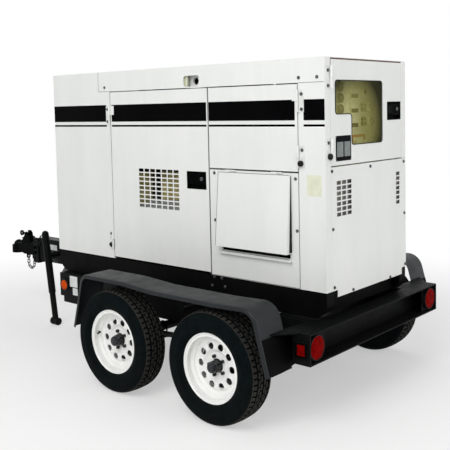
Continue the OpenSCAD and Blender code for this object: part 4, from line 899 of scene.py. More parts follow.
@dataclass
class Screws:
    """Flanged screws on panels, hinges and skid.

    Attributes:
        flange: radius of the flange.
        head: radius of the head.
        tall: height of head and flange together.
        plate: thickness of the flange.
        edge: width of the head's chamfer and depth of its dish.
        strip: height of the screws in the roof strips.
        inset: how far the skid stands back from the cabinet's side.
    """

    cab: Cabinet
    flange: float = 0.0105
    head: float = 0.0070
    tall: float = 0.0075
    plate: float = 0.0022
    edge: float = 0.0012
    strip: float = 1.994
    inset: float = 0.005

    def pattern(self) -> Thing:
        """Models one screw: a flange, a head raised from it and a shallow dish in its top."""
        rest()
        middle = (0, 0, self.plate / 2)
        bpy.ops.mesh.primitive_cylinder_add(vertices=12, radius=self.flange, depth=self.plate,
                                            location=middle)
        piece = settle(bpy.context.object, "screw")
        pick(piece, lambda c, n: n.z > 0.9)
        bpy.ops.mesh.inset(thickness=self.flange - self.head)
        push((0, 0, self.tall - self.plate))
        bpy.ops.mesh.bevel(offset=self.edge, segments=1, affect="EDGES")
        sink(piece, lambda c, n: n.z > 0.9 and c.z > self.tall * 0.9, self.head * 0.35, (0, 0, -self.edge))
        return piece

    def set_row(self, name: str, places: Iterable[Matrix]) -> None:
        """Sets a group of screws on the cabinet or the skid."""
        dress(copies(self.pattern(), name, places), SCREW)

    def build(self) -> None:
        """Sets the screws of the walls, the roof strips, the terminal panel and the skid."""
        cab = self.cab
        rear = [(408, 1451), (-21, 1451), (-446, 1453), (402, 1113), (-453, 1111), (393, 770), (189, 720),
                (-260, 715), (-460, 769)]
        self.set_row("rear_panel_screws", [Facing.REAR.at(cab.rear, y * MM, z * MM) for y, z in rear])
        front = [(y, z) for y in (-440, 440) for z in (800, 1110, 1420, 1730, 2060)]
        front += [(y, z) for y in (-220, 0, 220) for z in (800, 2060)]
        self.set_row("front_wall_screws", [Facing.FRONT.at(cab.front, y * MM, z * MM) for y, z in front])
        for side in Side:
            y = cab.side * side.value
            places = [side.wall.at(cab.rear + x * MM, y, self.strip) for x in (51, 179, 1901)]
            self.set_row(f"{side.word}_strip_screws", places)
        panel = [(849, 1415), (210, 1404), (849, 1111), (203, 1096)]
        places = [Facing.LEFT.at(cab.rear + x * MM, cab.side, z * MM) for x, z in panel]
        self.set_row("terminal_panel_screws", places)
        skid = [(-1.005, 0.736), (-1.070, 0.735), (-0.984, 0.678), (-1.094, 0.682)]
        self.set_row("skid_bolts", [Facing.LEFT.at(x, cab.side - self.inset, z) for x, z in skid])


@dataclass
class Hinges:
    """Screws on the fixed leaves of the door hinges, and the rubber bumpers at the lower ones.

    Attributes:
        tall: height of a hinge.
        leaf: thickness of a leaf.
        away: distance of the screws from the pin.
        inset: height of the screws above a hinge's foot and below its top.
        feet: feet of the lower and the upper hinge of a full-height door.
        bump: radius of a bumper.
        rise: height of a bumper's middle above the hinge's foot.
    """

    cab: Cabinet
    screws: Screws
    tall: float = 0.130
    leaf: float = 0.003
    away: float = 0.026
    inset: Pair = (0.017, 0.025)
    feet: Pair = (0.825, 1.731)
    bump: float = 0.0175
    rise: float = 0.026

    def bumper(self) -> Thing:
        """Models a bumper: a rubber button with a round shoulder and a sunk middle."""
        r = self.bump
        outline = [(0.0, 0.0), (r, 0.0), (r, 0.012), (r - 0.0015, 0.0155), (r - 0.005, 0.0175),
                   (0.006, 0.0175), (0.0045, 0.015), (0.0, 0.015)]
        return smooth(turned("bumper", outline, 28))

    def build(self) -> None:
        """Sets screws and bumpers on each row of hinges."""
        side, rear, lift = self.cab.side + self.leaf, self.cab.rear - self.leaf, self.tall
        (up, down), (back, ahead) = self.inset, self.cab.pins
        rows = {
            "left_front": (Facing.LEFT, (ahead, side), 1, self.feet),
            "left_rear": (Facing.LEFT, (back, side), -1, (1.470, 1.795)),
            "right_front": (Facing.RIGHT, (ahead, -side), 1, self.feet),
            "right_rear": (Facing.RIGHT, (back, -side), -1, self.feet),
            "control": (Facing.REAR, (rear, 0.417), 1, (1.512, 1.925)),
        }
        button = self.bumper()
        for name, (wall, (x, y), way, feet) in rows.items():
            step = Vector((0, way, 0)) if wall is Facing.REAR else Vector((way, 0, 0))
            pin = Vector((x, y, 0)) + step * self.away
            heights = [feet[0] + lift - down, feet[1] + up, feet[1] + lift - down]
            self.screws.set_row(f"{name}_hinge_screws", [wall.at(pin.x, pin.y, z) for z in heights])
            foot = Vector((x, y, feet[0] + self.rise)) + step * (self.bump + MM)
            dress(twin(button, f"{name}_bumper", wall.at(*foot)), RUBBER)
        bpy.data.objects.remove(button)


@dataclass
class Latches:
    """Black nylon bezels in the doors, and grips with locks on the paddles.

    Attributes:
        wide: width of a bezel.
        high: its height.
        deep: depth of its cup.
        proud: how far its flange stands out.
        rim: width of the flange.
        wall: thickness of the moulding.
        below: distance of its middle below the paddle's top.
        lock: place of the lock from the middle, across and up.
    """

    cab: Cabinet
    wide: float = 0.172
    high: float = 0.116
    deep: float = 0.0210
    proud: float = 0.0022
    rim: float = 0.0056
    wall: float = 0.0008
    below: float = 0.049
    lock: Pair = (-0.044, -0.010)

    def bezel(self) -> Thing:
        """Models the moulding flat: a flange round a deep cup, open at the back."""
        x, y = self.wide / 2, self.high / 2
        piece = block("bezel", (-x, -y, 0.0), (x, y, self.proud))
        pick(piece, lambda c, n: n.z < -0.9)
        bpy.ops.mesh.delete(type="FACE")
        pick(piece, lambda c, n: n.z > 0.9)
        bpy.ops.mesh.inset(thickness=self.rim)
        push((0, 0, -self.deep - self.proud))
        modify(piece, "SOLIDIFY", thickness=self.wall, offset=-1.0)
        return soften(piece, 0.0006, 2)

    def grip(self) -> Thing:
        """Models what covers a paddle: a plate with a sunk field, a finger lip and a lock."""
        plate = block("grip", (-0.0735, -0.038, -0.0022), (0.0735, 0.0278, -0.0004))
        sink(plate, lambda c, n: n.z > 0.9, 0.007, (0, 0, -0.0012))
        soften(plate, 0.0005)
        lip = block("lip", (-0.060, 0.016, -0.003), (0.060, 0.0270, 0.0014))
        soften(lip, 0.0035, 3)
        barrel = [(0.0, -0.002), (0.0125, -0.002), (0.0125, 0.0012), (0.0110, 0.0022), (0.0085, 0.0022),
                  (0.0080, 0.0012), (0.0, 0.0012)]
        lock = turned("lock", barrel, 24)
        paint(lock, SCREW, lambda c, n: True)
        slit = block("slit", (-0.0014, -0.0055, 0.0005), (0.0014, 0.0055, 0.0014))
        soften(slit, 0.0003, 1)
        for part in (lock, slit):
            part.data.transform(Matrix.Translation((*self.lock, 0.0)))
        for part in (plate, lip, slit):
            paint(part, NYLON, lambda c, n: True)
        return smooth(join("grip", [plate, lip, lock, slit]))

    def build(self) -> None:
        """Fits a bezel and a grip to each of the four latches."""
        spots = {
            "left_latch": (Facing.LEFT, "left_front_door"),
            "right_front_latch": (Facing.RIGHT, "right_front_door"),
            "right_rear_latch": (Facing.RIGHT, "right_rear_door"),
            "control_latch": (Facing.REAR, "control_door"),
        }
        bezel, grip = self.bezel(), self.grip()
        for node, (wall, door) in spots.items():
            low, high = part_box(node)
            middle = (low + high) / 2
            face = {Facing.LEFT: (middle.x, self.cab.side), Facing.RIGHT: (middle.x, -self.cab.side),
                    Facing.REAR: (self.cab.rear, middle.y)}[wall]
            place = wall.at(*face, high.z - self.below)
            dress(twin(bezel, f"{node}_bezel", place), NYLON, door)
            dress(twin(grip, f"{node}_grip", place), NYLON, node)
        bpy.data.objects.remove(bezel)
        bpy.data.objects.remove(grip)


@dataclass
class Seams:
    """Black strips of painted gap shade on the doors' edges, sealed joints, a black bead of painted shade
    round the window, lifting pans and a rusty door edge.

    Attributes:
        front: rear and front end of a front door.
        rear: the same of a rear door and of the terminal panel.
        heights: foot and top of a full-height door.
        short: foot of the left rear door, which ends above the terminal panel.
        panel: foot and top of the terminal panel.
        trim: width of a black strip of painted gap shade on a door's edge.
        seal: width of a sealed joint.
        thick: how far both stand out.
        ends: corner radius of both.
        roof: height of the roof strip's lower edge.
        post: place of the upright joint beside the front panel.
        bead: radius of the black bead of painted shade round the window.
        corner: corner radius of the window.
    """

    cab: Cabinet
    front: Pair = (-0.982, -0.031)
    rear: Pair = (-1.690, -0.986)
    heights: Pair = (0.762, 1.961)
    short: float = 1.444
    panel: Pair = (0.752, 1.440)
    trim: float = 0.0025
    seal: float = 0.0030
    thick: float = 0.0006
    ends: float = 0.0008
    roof: float = 1.965
    post: float = 0.093
    bead: float = 0.0028
    corner: float = 0.022

    def strips(self, name: str, y: float, spans: Iterable[tuple[float, ...]]) -> Thing:
        """Lays thin strips on a side wall, each given by its ends along the wall and up it."""
        return sheets(name, [((a, y, c), (b, y, d)) for a, b, c, d in spans], self.ends, self.thick)

    def edging(self, name: str, y: float, x: Pair, z: Pair) -> Thing:
        """Lays black strips of painted gap shade along the four edges of a door on a side wall."""
        w = self.trim
        spans = [(x[0], x[0] + w, *z), (x[1] - w, x[1], *z), (*x, z[0], z[0] + w), (*x, z[1] - w, z[1])]
        return self.strips(name, y, spans)

    def joints(self, name: str, y: float) -> Thing:
        """Fills the joints round the roof strip on a side wall."""
        w, z, end, (back, ahead) = self.seal / 2, self.roof, self.post, self.cab.pins
        spans = [(self.cab.rear, back, z - w, z + w), (ahead, end, z - w, z + w),
                 (end - w, end + w, z, self.cab.top)]
        return self.strips(name, y, spans)

    def gasket(self) -> Thing:
        """Draws a black bead of painted shade round the window, which has a step at its lower left."""
        x = self.cab.rear - self.bead * 0.3
        marks = [(0.365, 1.975), (-0.169, 1.975), (-0.169, 1.595), (0.189, 1.595), (0.189, 1.779),
                 (0.365, 1.779)]
        corners = [Vector((x, y, z)) for y, z in marks]
        path = []
        for i, corner in enumerate(corners):
            start, end = ((corners[j % 6] - corner).normalized() * self.corner for j in (i - 1, i + 1))
            path += [corner + start * (1 - t / 4) ** 2 + end * (t / 4) ** 2 for t in range(5)]
        return tube("window_gasket", [*path, path[0]], self.bead)

    def pan(self, y: float) -> Thing:
        """Models the shallow pan behind a lifting opening: a back with turned edges."""
        inner, outer = sorted((y - math.copysign(0.022, y), y - math.copysign(0.004, y)))
        piece = block("pan", (-0.800, inner, 1.966), (-0.764, outer, 2.050))
        sink(piece, lambda c, n: n.y * y > 0, 0.002, (0, -math.copysign(0.015, y), 0))
        return soften(piece, 0.0006, 1)

    def build(self) -> None:
        """Paints gap shade along the doors' edges and seals the joints."""
        for side in Side:
            word, y = side.word, self.cab.side * side.value
            dress(settle(self.pan(y), f"{word}_lifting_pan"), CARD)
            low, high = self.heights
            foot = self.short if side is Side.LEFT else low
            doors = {f"{word}_front_door": (self.front, (low, high)),
                     f"{word}_rear_door": (self.rear, (foot, high))}
            for door, (x, z) in doors.items():
                # Black strips along each door's edges paint the shade of the gaps round it.
                dress(self.edging(f"{door}_trim", y, x, z), RUBBER, door)
            dress(self.joints(f"{word}_roof_joint", y), SEALER)
        # The same painted gap shade round the terminal panel and along the control door's foot.
        panel = self.edging("terminal_panel_trim", self.cab.side, self.rear, self.panel)
        dress(panel, RUBBER)
        x = self.cab.rear
        edge = film("control_door_trim", (x, -0.415, 1.478), (x, 0.415, 1.481), self.ends, self.thick)
        dress(edge, RUBBER, "control_door")
        rust = [((x, -0.412, 2.0945), (x, 0.412, 2.1005))]
        rust += [((x, 0.4095, z0), (x, 0.4130, z1))
                 for z0, z1 in ((2.058, 2.0975), (1.930, 1.985), (2.015, 2.050), (1.515, 1.575))]
        dress(sheets("control_door_rust", rust, 0.0015, self.thick), RUST, "control_door")
        # A black bead round the window paints the shade at the pane's edge.
        dress(self.gasket(), RUBBER, "control_door")


@dataclass
class Cover:
    """Black sheets on the terminal cover's end cheeks that paint the shade of the open gaps at its ends, and
    grey strips of painted edge shadow along its edges.

    Attributes:
        ends: rear and front end of the cover.
        heights: foot and top of a cheek.
        deep: its depth at the foot and at the top.
        thick: its thickness.
        tall: height of the cover's sloping face.
        lean: how far that face falls back for each metre of height.
        seal: width of the strips of painted edge shadow.
    """

    cab: Cabinet
    ends: Pair = (-1.635, -1.073)
    heights: Pair = (0.962, 1.418)
    deep: Pair = (0.029, 0.006)
    thick: float = 0.0006
    tall: float = 0.470
    lean: float = 44 / 470
    seal: float = 0.0035

    def cheek(self, x: Pair) -> Thing:
        """Models one cheek: a black sheet of painted shade that narrows to its top."""
        y, (low, high) = self.cab.side + 0.0022, self.heights
        piece = block("cheek", (x[0], y, low), (x[1], y + self.deep[0], high))
        mark(piece, lambda p: p.z > high - MM and p.y > y + MM)
        shift((0, self.deep[1] - self.deep[0], 0))
        return soften(piece, 0.0002, 1)

    def edge(self, x: Pair, z: Pair) -> Thing:
        """Lays a grey strip of painted edge shadow on the cover's sloping face."""
        foot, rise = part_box("terminal_cover")[1].y, self.lean * (z[1] - z[0])
        y = foot - self.lean * (z[0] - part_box("terminal_cover")[0].z)
        piece = block("edge", (x[0], y, z[0]), (x[1], y + self.thick, z[1]))
        pick(piece, lambda c, n: n.z > 0.9)
        shift((0, -rise, 0))
        return soften(piece, 0.0002, 1)

    def build(self) -> None:
        """Fits both cheek sheets and the edge strips, all painted shade, which swing with the cover."""
        rear, front = self.ends
        cheeks = [self.cheek((rear - self.thick, rear)), self.cheek((front, front + self.thick))]
        # Black sheets on the cheeks paint the shade of the gaps between the cover's ends and the panel.
        dress(join("terminal_cover_cheeks", cheeks), RUBBER, "terminal_cover")
        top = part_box("terminal_cover")[0].z + self.tall
        wide = self.seal
        # Grey strips along the cover's front and top edges paint their edge shadow.
        edges = [self.edge((front - wide, front), (top - self.tall + 0.002, top - MM)),
                 self.edge((rear + wide, front - wide), (top - wide - MM, top - MM))]
        dress(join("terminal_cover_edges", edges), SEALER, "terminal_cover")


@dataclass
class Aprons:
    """Black plates of painted shadow on the fenders' rear drops, where the deck wings shade them, reaching in
    to the bumper.

    Attributes:
        foot: place along the trailer and height of a plate's foot.
        lean: lean of a plate, in degrees.
        thick: its thickness.
        outline: its outline, across the trailer and up from the foot.
    """

    foot: Pair = (-1.8312, 0.3785)
    lean: float = 15.5
    thick: float = 0.004
    outline: tuple[Pair, ...] = ((0.640, 0.020), (0.705, 0.019), (0.745, 0.015), (0.785, 0.006),
                                 (0.820, 0.001), (0.860, 0.0), (0.940, 0.0), (0.952, 0.004), (0.954, 0.012),
                                 (0.954, 0.203), (0.640, 0.203))

    def build(self) -> None:
        """Cuts a plate, leans it on the left drop and mirrors it to the right."""
        plate = chain("plate", [(0.0, y, z) for y, z in self.outline])
        bpy.ops.mesh.edge_face_add()
        push((self.thick, 0, 0))
        outward()
        x, z = self.foot
        plate.data.transform(Matrix.Translation((x, 0, z)) @ Matrix.Rotation(math.radians(self.lean), 4, "Y"))
        soften(plate, 0.001, 1)
        # The plates paint the deck wings' shadow on the fenders' rear drops.
        both(plate, "{}_fender_apron", SKID)


@dataclass
class Coupler:
    """Formed ribs along the sides of the coupler.

    Attributes:
        ribs: ends and radius of each rib on the left side.
    """

    ribs: tuple[tuple[Triple, Triple, float], ...] = (
        ((1.580, 0.0490, 0.624), (1.735, 0.0490, 0.610), 0.0075),
        ((1.680, 0.0275, 0.676), (1.790, 0.0275, 0.664), 0.0065))

    def build(self) -> None:
        """Forms the ribs on both sides."""
        ribs = [tube("rib", [start, end], radius) for start, end, radius in self.ribs]
        both(join("ribs", ribs), "{}_coupler_ribs", COUPLER)


@dataclass
class Plates:
    """Bare plates and blanks fixed to the cabinet and the frame."""

    cab: Cabinet

    def rating_plate(self) -> None:
        """Fixes a black plate with two bare metal fields and four rivets on the control door."""
        x = self.cab.rear
        base = film("rating_plate", (x, 0.198, 1.505), (x, 0.364, 1.653), 0.003, 0.0010)
        dress(base, ANODISED, "control_door")
        fields = [((x - 0.0009, a, 1.530), (x - 0.0009, b, 1.617))
                  for a, b in ((0.208, 0.272), (0.285, 0.352))]
        made = sheets("rating_plate_fields", fields, 0.002, 0.0005)
        dress(made, ALUMINIUM, "control_door")
        head = [(0.0, 0.0), (0.0035, 0.0), (0.0030, 0.0012), (0.0015, 0.0020), (0.0, 0.0022)]
        rivet = smooth(turned("rivet", head, 12))
        corners = [(y, z) for y in (0.204, 0.358) for z in (1.511, 1.647)]
        places = [Facing.REAR.at(x - 0.0008, y, z) for y, z in corners]
        dress(copies(rivet, "rating_plate_rivets", places), ALUMINIUM, "control_door")

    def build(self) -> None:
        """Fixes all plates."""
        self.rating_plate()
        side, rear = self.cab.side, self.cab.rear
        card = film("cream_plate", (rear + 0.028, side, 1.309), (rear + 0.128, side, 1.431), 0.004, 0.0006)
        dress(card, CARD)
        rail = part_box("left_rail")[1].y
        blanks = [((0.322, rail, 0.492), (0.412, rail, 0.576)), ((0.322, rail, 0.432), (0.380, rail, 0.486))]
        dress(sheets("rail_blanks", blanks, 0.003, 0.0012), BLANK)
        blank = film("tongue_blank", (1.232, 0.051, 0.603), (1.352, 0.051, 0.650), 0.003, 0.0010)
        dress(blank, BLANK)


@dataclass
class Ducts:
    """Foam-lined intake boxes inside the front doors, and the foam baffle behind the rear vents.

    Attributes:
        span: rear and front end of a box.
        heights: its foot and the top of its baffles.
        back: distance of its back wall from the middle plane.
        foam: thickness of the foam.
        gap: opening between back wall and front wall.
        sheet: thickness of the doors and the rear panel.
        rise: how far a box's floor rises to the back.
        trays: ends across of the rear baffle's trays.
        vents: their foot and top.
        deep: their depth.
    """

    cab: Cabinet
    span: Pair = (-0.725, -0.300)
    heights: Pair = (1.135, 1.390)
    back: float = 0.325
    foam: float = 0.020
    gap: float = 0.085
    sheet: float = 0.003
    rise: float = 0.047
    trays: tuple[Pair, ...] = ((0.160, 0.402), (-0.402, -0.335))
    vents: Pair = (1.140, 1.420)
    deep: float = 0.060

    def slope(self) -> Thing:
        """Models the floor, which rises towards the back wall."""
        x, z, door = self.span, self.heights[0], self.cab.side - self.sheet
        piece = block("floor", (x[0], self.back, z + 0.010), (x[1], door, z + 0.0115))
        pick(piece, lambda c, n: n.y < -0.9)
        shift((0, 0, self.rise))
        return soften(piece, 0.0004, 1)

    def walls(self) -> Thing:
        """Models the foam walls: one at each end and a back wall that stops short of the front one."""
        (x0, x1), (z0, z1), door = self.span, self.heights, self.cab.side - self.sheet
        ends = [block("wall", (x, self.back, z0), (x + self.foam, door, z1)) for x in (x0 - self.foam, x1)]
        back = block("wall", (x0 - self.foam, self.back - self.foam, z0), (x1 - self.gap, self.back, z1))
        foot = block("wall", (x0, self.back, z0 - self.foam), (x1, door, z0 + 0.004))
        for wall in (*ends, back, foot):
            soften(wall, 0.003, 2)
        return join("walls", [*ends, back, foot])

    def baffle(self) -> Thing:
        """Models the baffles behind the rear vents: foam trays open to the vents."""
        x, (z0, z1) = self.cab.rear + self.sheet, self.vents
        made = []
        for y0, y1 in self.trays:
            tray = block("tray", (x, y0, z0), (x + self.deep, y1, z1))
            sink(tray, lambda c, n: n.x < -0.9, 0.006, (0.014, 0, 0))
            made.append(soften(tray, 0.002, 1))
        return join("rear_baffles", made)

    def build(self) -> None:
        """Fits both intake boxes and the rear baffles."""
        both(self.slope(), "{}_intake_floor", GALVANISED, "{}_front_door")
        both(self.walls(), "{}_intake_foam", FOAM, "{}_front_door")
        dress(self.baffle(), SOOTY_FOAM)


@dataclass
class Wheels:
    """Ribbed tyres in place of the plain ones, with valve stems and dust caps.

    Attributes:
        side: radius and place across of the sidewall's points, from the bead outwards.
        crown: the same over the outer half of the tread, with its grooves.
        lining: the same inside the tyre, from its middle to the bead.
        steps: steps of the spin; a sipe is one step wide.
        rows: near and far edge of each row of sipes, the steps from one sipe to the next, and its first.
        tread: least radius of the faces that get sipes.
        sipe: depth of the sipes.
        margin: how far a sipe stays clear of its face's edges.
        flat: radius and half width of the tread between its shoulders.
        fall: how steeply the shoulders fall.
        edge: half width of the tread with its shoulders.
        wear: how far below that line a face still touches the road.
        seat: radius and height of a valve's foot on the rim.
        lean: a valve's lean in degrees.
        clock: turn of the valves on the front and the rear wheels in degrees.
    """

    side: tuple[Pair, ...] = ((0.1900, 0.0640), (0.1960, 0.0672), (0.2035, 0.0690), (0.2075, 0.0740),
                              (0.2098, 0.0795), (0.2130, 0.0806), (0.2165, 0.0832), (0.2250, 0.0895),
                              (0.2360, 0.0942), (0.2480, 0.0968), (0.2600, 0.0976), (0.2612, 0.0970),
                              (0.2720, 0.0968), (0.2840, 0.0958), (0.2960, 0.0938), (0.2972, 0.0944),
                              (0.3010, 0.0938), (0.3022, 0.0922), (0.3100, 0.0898), (0.3180, 0.0858),
                              (0.3240, 0.0812))
    crown: tuple[Pair, ...] = ((0.3278, 0.0768), (0.3305, 0.0705), (0.3322, 0.0630), (0.3336, 0.0535),
                               (0.3272, 0.0520), (0.3272, 0.0440), (0.3342, 0.0425), (0.3349, 0.0262),
                               (0.3305, 0.0252), (0.3305, 0.0228), (0.3351, 0.0218), (0.3358, 0.0058),
                               (0.3272, 0.0046))
    lining: tuple[Pair, ...] = ((0.3120, 0.0), (0.3120, 0.0600), (0.2960, 0.0820), (0.2560, 0.0870),
                                (0.2200, 0.0760), (0.1900, 0.0500))
    steps: int = 180
    rows: tuple[tuple[float, float, int, int], ...] = (
        (0.0560, 0.0700, 3, 0), (0.0700, 0.0790, 3, 0), (0.0270, 0.0420, 4, 1), (0.0065, 0.0215, 4, 3))
    tread: float = 0.326
    sipe: float = 0.0050
    margin: float = 0.0016
    flat: Pair = (0.3336, 0.0535)
    fall: float = 0.25
    edge: float = 0.0800
    wear: float = 0.0018
    seat: Pair = (0.178, 0.034)
    lean: float = -28.0
    clock: Pair = (-8.0, -146.0)

    def tyre(self) -> Thing:
        """Spins the outline, sinks sipes into the shoulders and the ribs, and paints shade into the grooves
        and sipes.
        """
        half = [*self.side, *self.crown]
        under = [(r, -y) for r, y in self.lining]
        outline = [*half, *[(r, -y) for r, y in reversed(half)], *reversed(under), *self.lining[1:]]
        piece = turned("tyre", outline, self.steps, closed=True)

        def turn(centre: Vector) -> int:
            """Tells which step of the spin a face belongs to."""
            return int(math.degrees(math.atan2(centre.y, centre.x)) % 360 / 360 * self.steps)

        for near, far, every, start in self.rows:
            pick(piece, lambda c, n: near < abs(c.z) < far and math.hypot(c.x, c.y) > self.tread
                 and (turn(c) + (every // 2 if c.z < 0 else 0)) % every == start)
            bpy.ops.mesh.inset(thickness=self.margin, depth=-self.sipe, use_individual=True)
        rest()
        piece.data.materials.append(SIDEWALL.material())

        def worn(centre: Vector, normal: Vector) -> bool:
            """Tells the faces that touch the road from the walls and floors of grooves and sipes."""
            across, (radius, width) = abs(centre.z), self.flat
            top = radius - max(0.0, across - width) * self.fall
            high = math.hypot(centre.x, centre.y) > top - self.wear
            return high and across < self.edge and abs(normal.z) < 0.8

        # The tops take the muddy tread rubber; the walls and floors of grooves and sipes keep the darker
        # sidewall rubber as painted shade.
        paint(piece, TREAD, worn)
        return smooth(piece, 32)

    def stem(self) -> Thing:
        """Models a valve stem: a rubber foot, a neck and a cap, standing along Z."""
        outline = [(0.0, 0.0), (0.0085, 0.0), (0.0085, 0.004), (0.0055, 0.008), (0.0042, 0.022),
                   (0.0055, 0.023), (0.0055, 0.034), (0.0045, 0.036), (0.0, 0.036)]
        return smooth(turned("stem", outline, 14))

    def cap(self) -> Thing:
        """Models a dust cap: a rolled edge, a drawn shell and a sunk plug."""
        outline = [(0.0336, 0.0400), (0.0355, 0.0410), (0.0355, 0.0440), (0.0342, 0.0465), (0.0318, 0.0480),
                   (0.0312, 0.0630), (0.0296, 0.0668), (0.0262, 0.0688), (0.0150, 0.0692), (0.0135, 0.0676),
                   (0.0, 0.0676)]
        return smooth(turned("cap", outline, 32))

    def build(self) -> None:
        """Sets all four wheels."""
        tyre, stem, cap = self.tyre(), self.stem(), self.cap()
        radius, rise = self.seat
        foot = Matrix.Translation((radius, 0, rise)) @ Matrix.Rotation(math.radians(self.lean), 4, "Y")
        for axle, angle in zip(("front", "rear"), self.clock):
            seat = Matrix.Rotation(math.radians(angle), 4, "Z") @ foot
            for side in Side:
                name = f"{axle}_{side.word}"
                low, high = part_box(f"{name}_tyre")
                place, wheel = side.wall.at(*((low + high) / 2)), f"{name}_wheel"
                ring = dress(twin(tyre, f"{name}_ribbed_tyre", place), SIDEWALL, wheel)
                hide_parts(f"{name}_tyre")
                dress(twin(stem, f"{name}_valve", place @ seat), RUBBER, wheel)
                dress(twin(cap, f"{name}_dust_cap", place), DUST_CAP, wheel)
        for pattern in (tyre, stem, cap):
            bpy.data.objects.remove(pattern)


@dataclass
class Instruments:
    """Dials, meter windows and knobs on the instrument plate.

    Attributes:
        plate: plane of the instrument plate's face.
        gauges: heights of the round gauges.
        gauge_row: how far they stand out, and their place across.
        meters: heights of the meters' feet.
        switches: heights of the switch blocks' feet.
        proud: how far meters and switch blocks stand out.
        selectors: heights of the selector knobs.
        selector_row: how far they stand out, and their place across.
        start: how far the start knob stands out, its place across and its height.
        bars: ends across, foot and top of each bar of the breaker's frame.
    """

    plate: float = -1.747
    gauges: tuple[float, ...] = (1.943, 1.874, 1.805)
    gauge_row: Pair = (0.014, 0.122)
    meters: tuple[float, ...] = (1.867, 1.776, 1.685)
    switches: tuple[float, ...] = (1.787, 1.697)
    proud: float = 0.012
    selectors: tuple[float, ...] = (1.819, 1.727)
    selector_row: Pair = (0.024, -0.223)
    start: Triple = (0.020, -0.151, 1.911)
    bars: tuple[tuple[float, float, float, float], ...] = (
        (-0.181, -0.016, 1.627, 1.643), (-0.181, -0.160, 1.500, 1.627), (-0.036, -0.016, 1.500, 1.627))

    def gauge(self) -> None:
        """Models the dials: a raised bezel round a sunk face, and a pointer."""
        rim = [(0.0255, -0.001), (0.0310, -0.001), (0.0315, 0.002), (0.0290, 0.004), (0.0265, 0.003),
               (0.0255, 0.0005)]
        ring = turned("ring", rim, 32, closed=True)
        out, across = self.gauge_row
        places = [Facing.REAR.at(self.plate - out, across, z) for z in self.gauges]
        dress(copies(smooth(ring), "gauge_bezels", places), BEZEL)
        dial = turned("dial", [(0.0, 0.0), (0.0265, 0.0), (0.0265, 0.0012), (0.0, 0.0016)], 28)
        dress(copies(dial, "gauge_dials", places), DIAL)
        hand = block("hand", (-0.0013, -0.019, 0.0015), (0.0013, 0.004, 0.0022))
        soften(hand, 0.0006, 1)
        hand.data.transform(Matrix.Rotation(math.radians(35), 4, "Z"))
        dress(copies(hand, "gauge_pointers", places), POINTER)

    def knob(self, radius: float, tall: float) -> Thing:
        """Models a knob: a skirt, a waisted grip and a pointer ridge."""
        r = radius
        outline = [(0.0, 0.0), (r, 0.0), (r, 0.003), (r * 0.78, 0.005), (r * 0.72, tall),
                   (r * 0.66, tall + MM), (0.0, tall + MM)]
        body = turned("knob", outline, 24)
        ridge = block("ridge", (-0.0028, -r * 0.7, tall - MM), (0.0028, r * 0.1, tall + 0.003))
        soften(ridge, 0.001, 1)
        return smooth(join("knob", [body, ridge]))

    def build(self) -> None:
        """Fits everything that shows through the window."""
        self.gauge()
        front = self.plate - self.proud
        panes = [((front, -0.080, z + 0.006), (front, 0.000, z + 0.032)) for z in self.meters]
        dress(sheets("meter_windows", panes, 0.002, 0.0012), BEZEL)
        cards = [((front, -0.180, z), (front, -0.110, z + 0.058)) for z in self.switches]
        dress(sheets("switch_plates", cards, 0.002, 0.0010), PLATE)
        feet = [(y, z + rise) for z in self.switches for y in (-0.177, -0.139) for rise in (0.007, 0.031)]
        keys = [((front, y, z), (front, y + 0.026, z + 0.018)) for y, z in feet]
        dress(sheets("switch_keys", keys, 0.003, 0.0030), BEZEL)
        out, across = self.selector_row
        places = [Facing.REAR.at(self.plate - out, across, z) for z in self.selectors]
        dress(copies(self.knob(0.025, 0.010), "selector_knobs", places), BEZEL)
        out, across, z = self.start
        place = Facing.REAR.at(self.plate - out, across, z)
        dress(copies(self.knob(0.016, 0.010), "start_knob", [place]), BEZEL)
        lines = [((self.plate, y0, z0), (self.plate, y1, z1)) for y0, y1, z0, z1 in self.bars]
        dress(sheets("breaker_frame", lines, 0.001, 0.0020), ORANGE)


@dataclass
class Lamps:
    """Rubber grommets round the tail lamps and the amber markers, and bezels on the red markers.

    Attributes:
        level: height of the lamps' middles.
        tail: plane of the tail grommets and their distance from the middle plane.
        marker: place along the trailer of the amber markers and their distance from the middle plane.
        bars: ends, foot and top of each bar of a red marker's bezel.
        shell: distance of the bezel's back and face from the middle plane.
    """

    level: float = 0.499
    tail: Pair = (-1.943, 0.680)
    marker: Pair = (0.473, 0.558)
    bars: tuple[tuple[float, float, float, float], ...] = (
        (-1.8780, -1.8535, 0.4595, 0.5385), (-1.9365, -1.8780, 0.5300, 0.5385),
        (-1.9365, -1.8780, 0.4595, 0.4680), (-1.9365, -1.9300, 0.4680, 0.5300))
    shell: Pair = (0.7662, 0.7785)

    def ring(self, name: str, inner: float, outer: float, tall: float, places: Iterable[Matrix]) -> None:
        """Models a grommet with a round bead and a foot, and sets it at each place."""
        mid = (inner + outer) / 2
        outline = [(inner, 0.0), (outer, 0.0), (outer, tall * 0.5), (mid + 0.002, tall), (mid - 0.002, tall),
                   (inner, tall * 0.7)]
        made = smooth(turned("grommet", outline, 40, closed=True), 50)
        dress(copies(made, name, places), RUBBER)

    def build(self) -> None:
        """Sets the grommets and the bezels on both sides."""
        (x, y), (along, away), z = self.tail, self.marker, self.level
        tails = [Facing.REAR.at(x, side.value * y, z) for side in Side]
        self.ring("tail_lamp_grommets", 0.0665, 0.0712, 0.007, tails)
        marks = [side.wall.at(along, side.value * away, z) for side in Side]
        self.ring("marker_grommets", 0.0362, 0.0480, 0.006, marks)
        back, face = self.shell
        bars = [block("bar", (x0, back, z0), (x1, face, z1)) for x0, x1, z0, z1 in self.bars]
        bezel = soften(join("bezel", bars), 0.0008, 1)
        both(bezel, "{}_marker_bezel", NYLON)


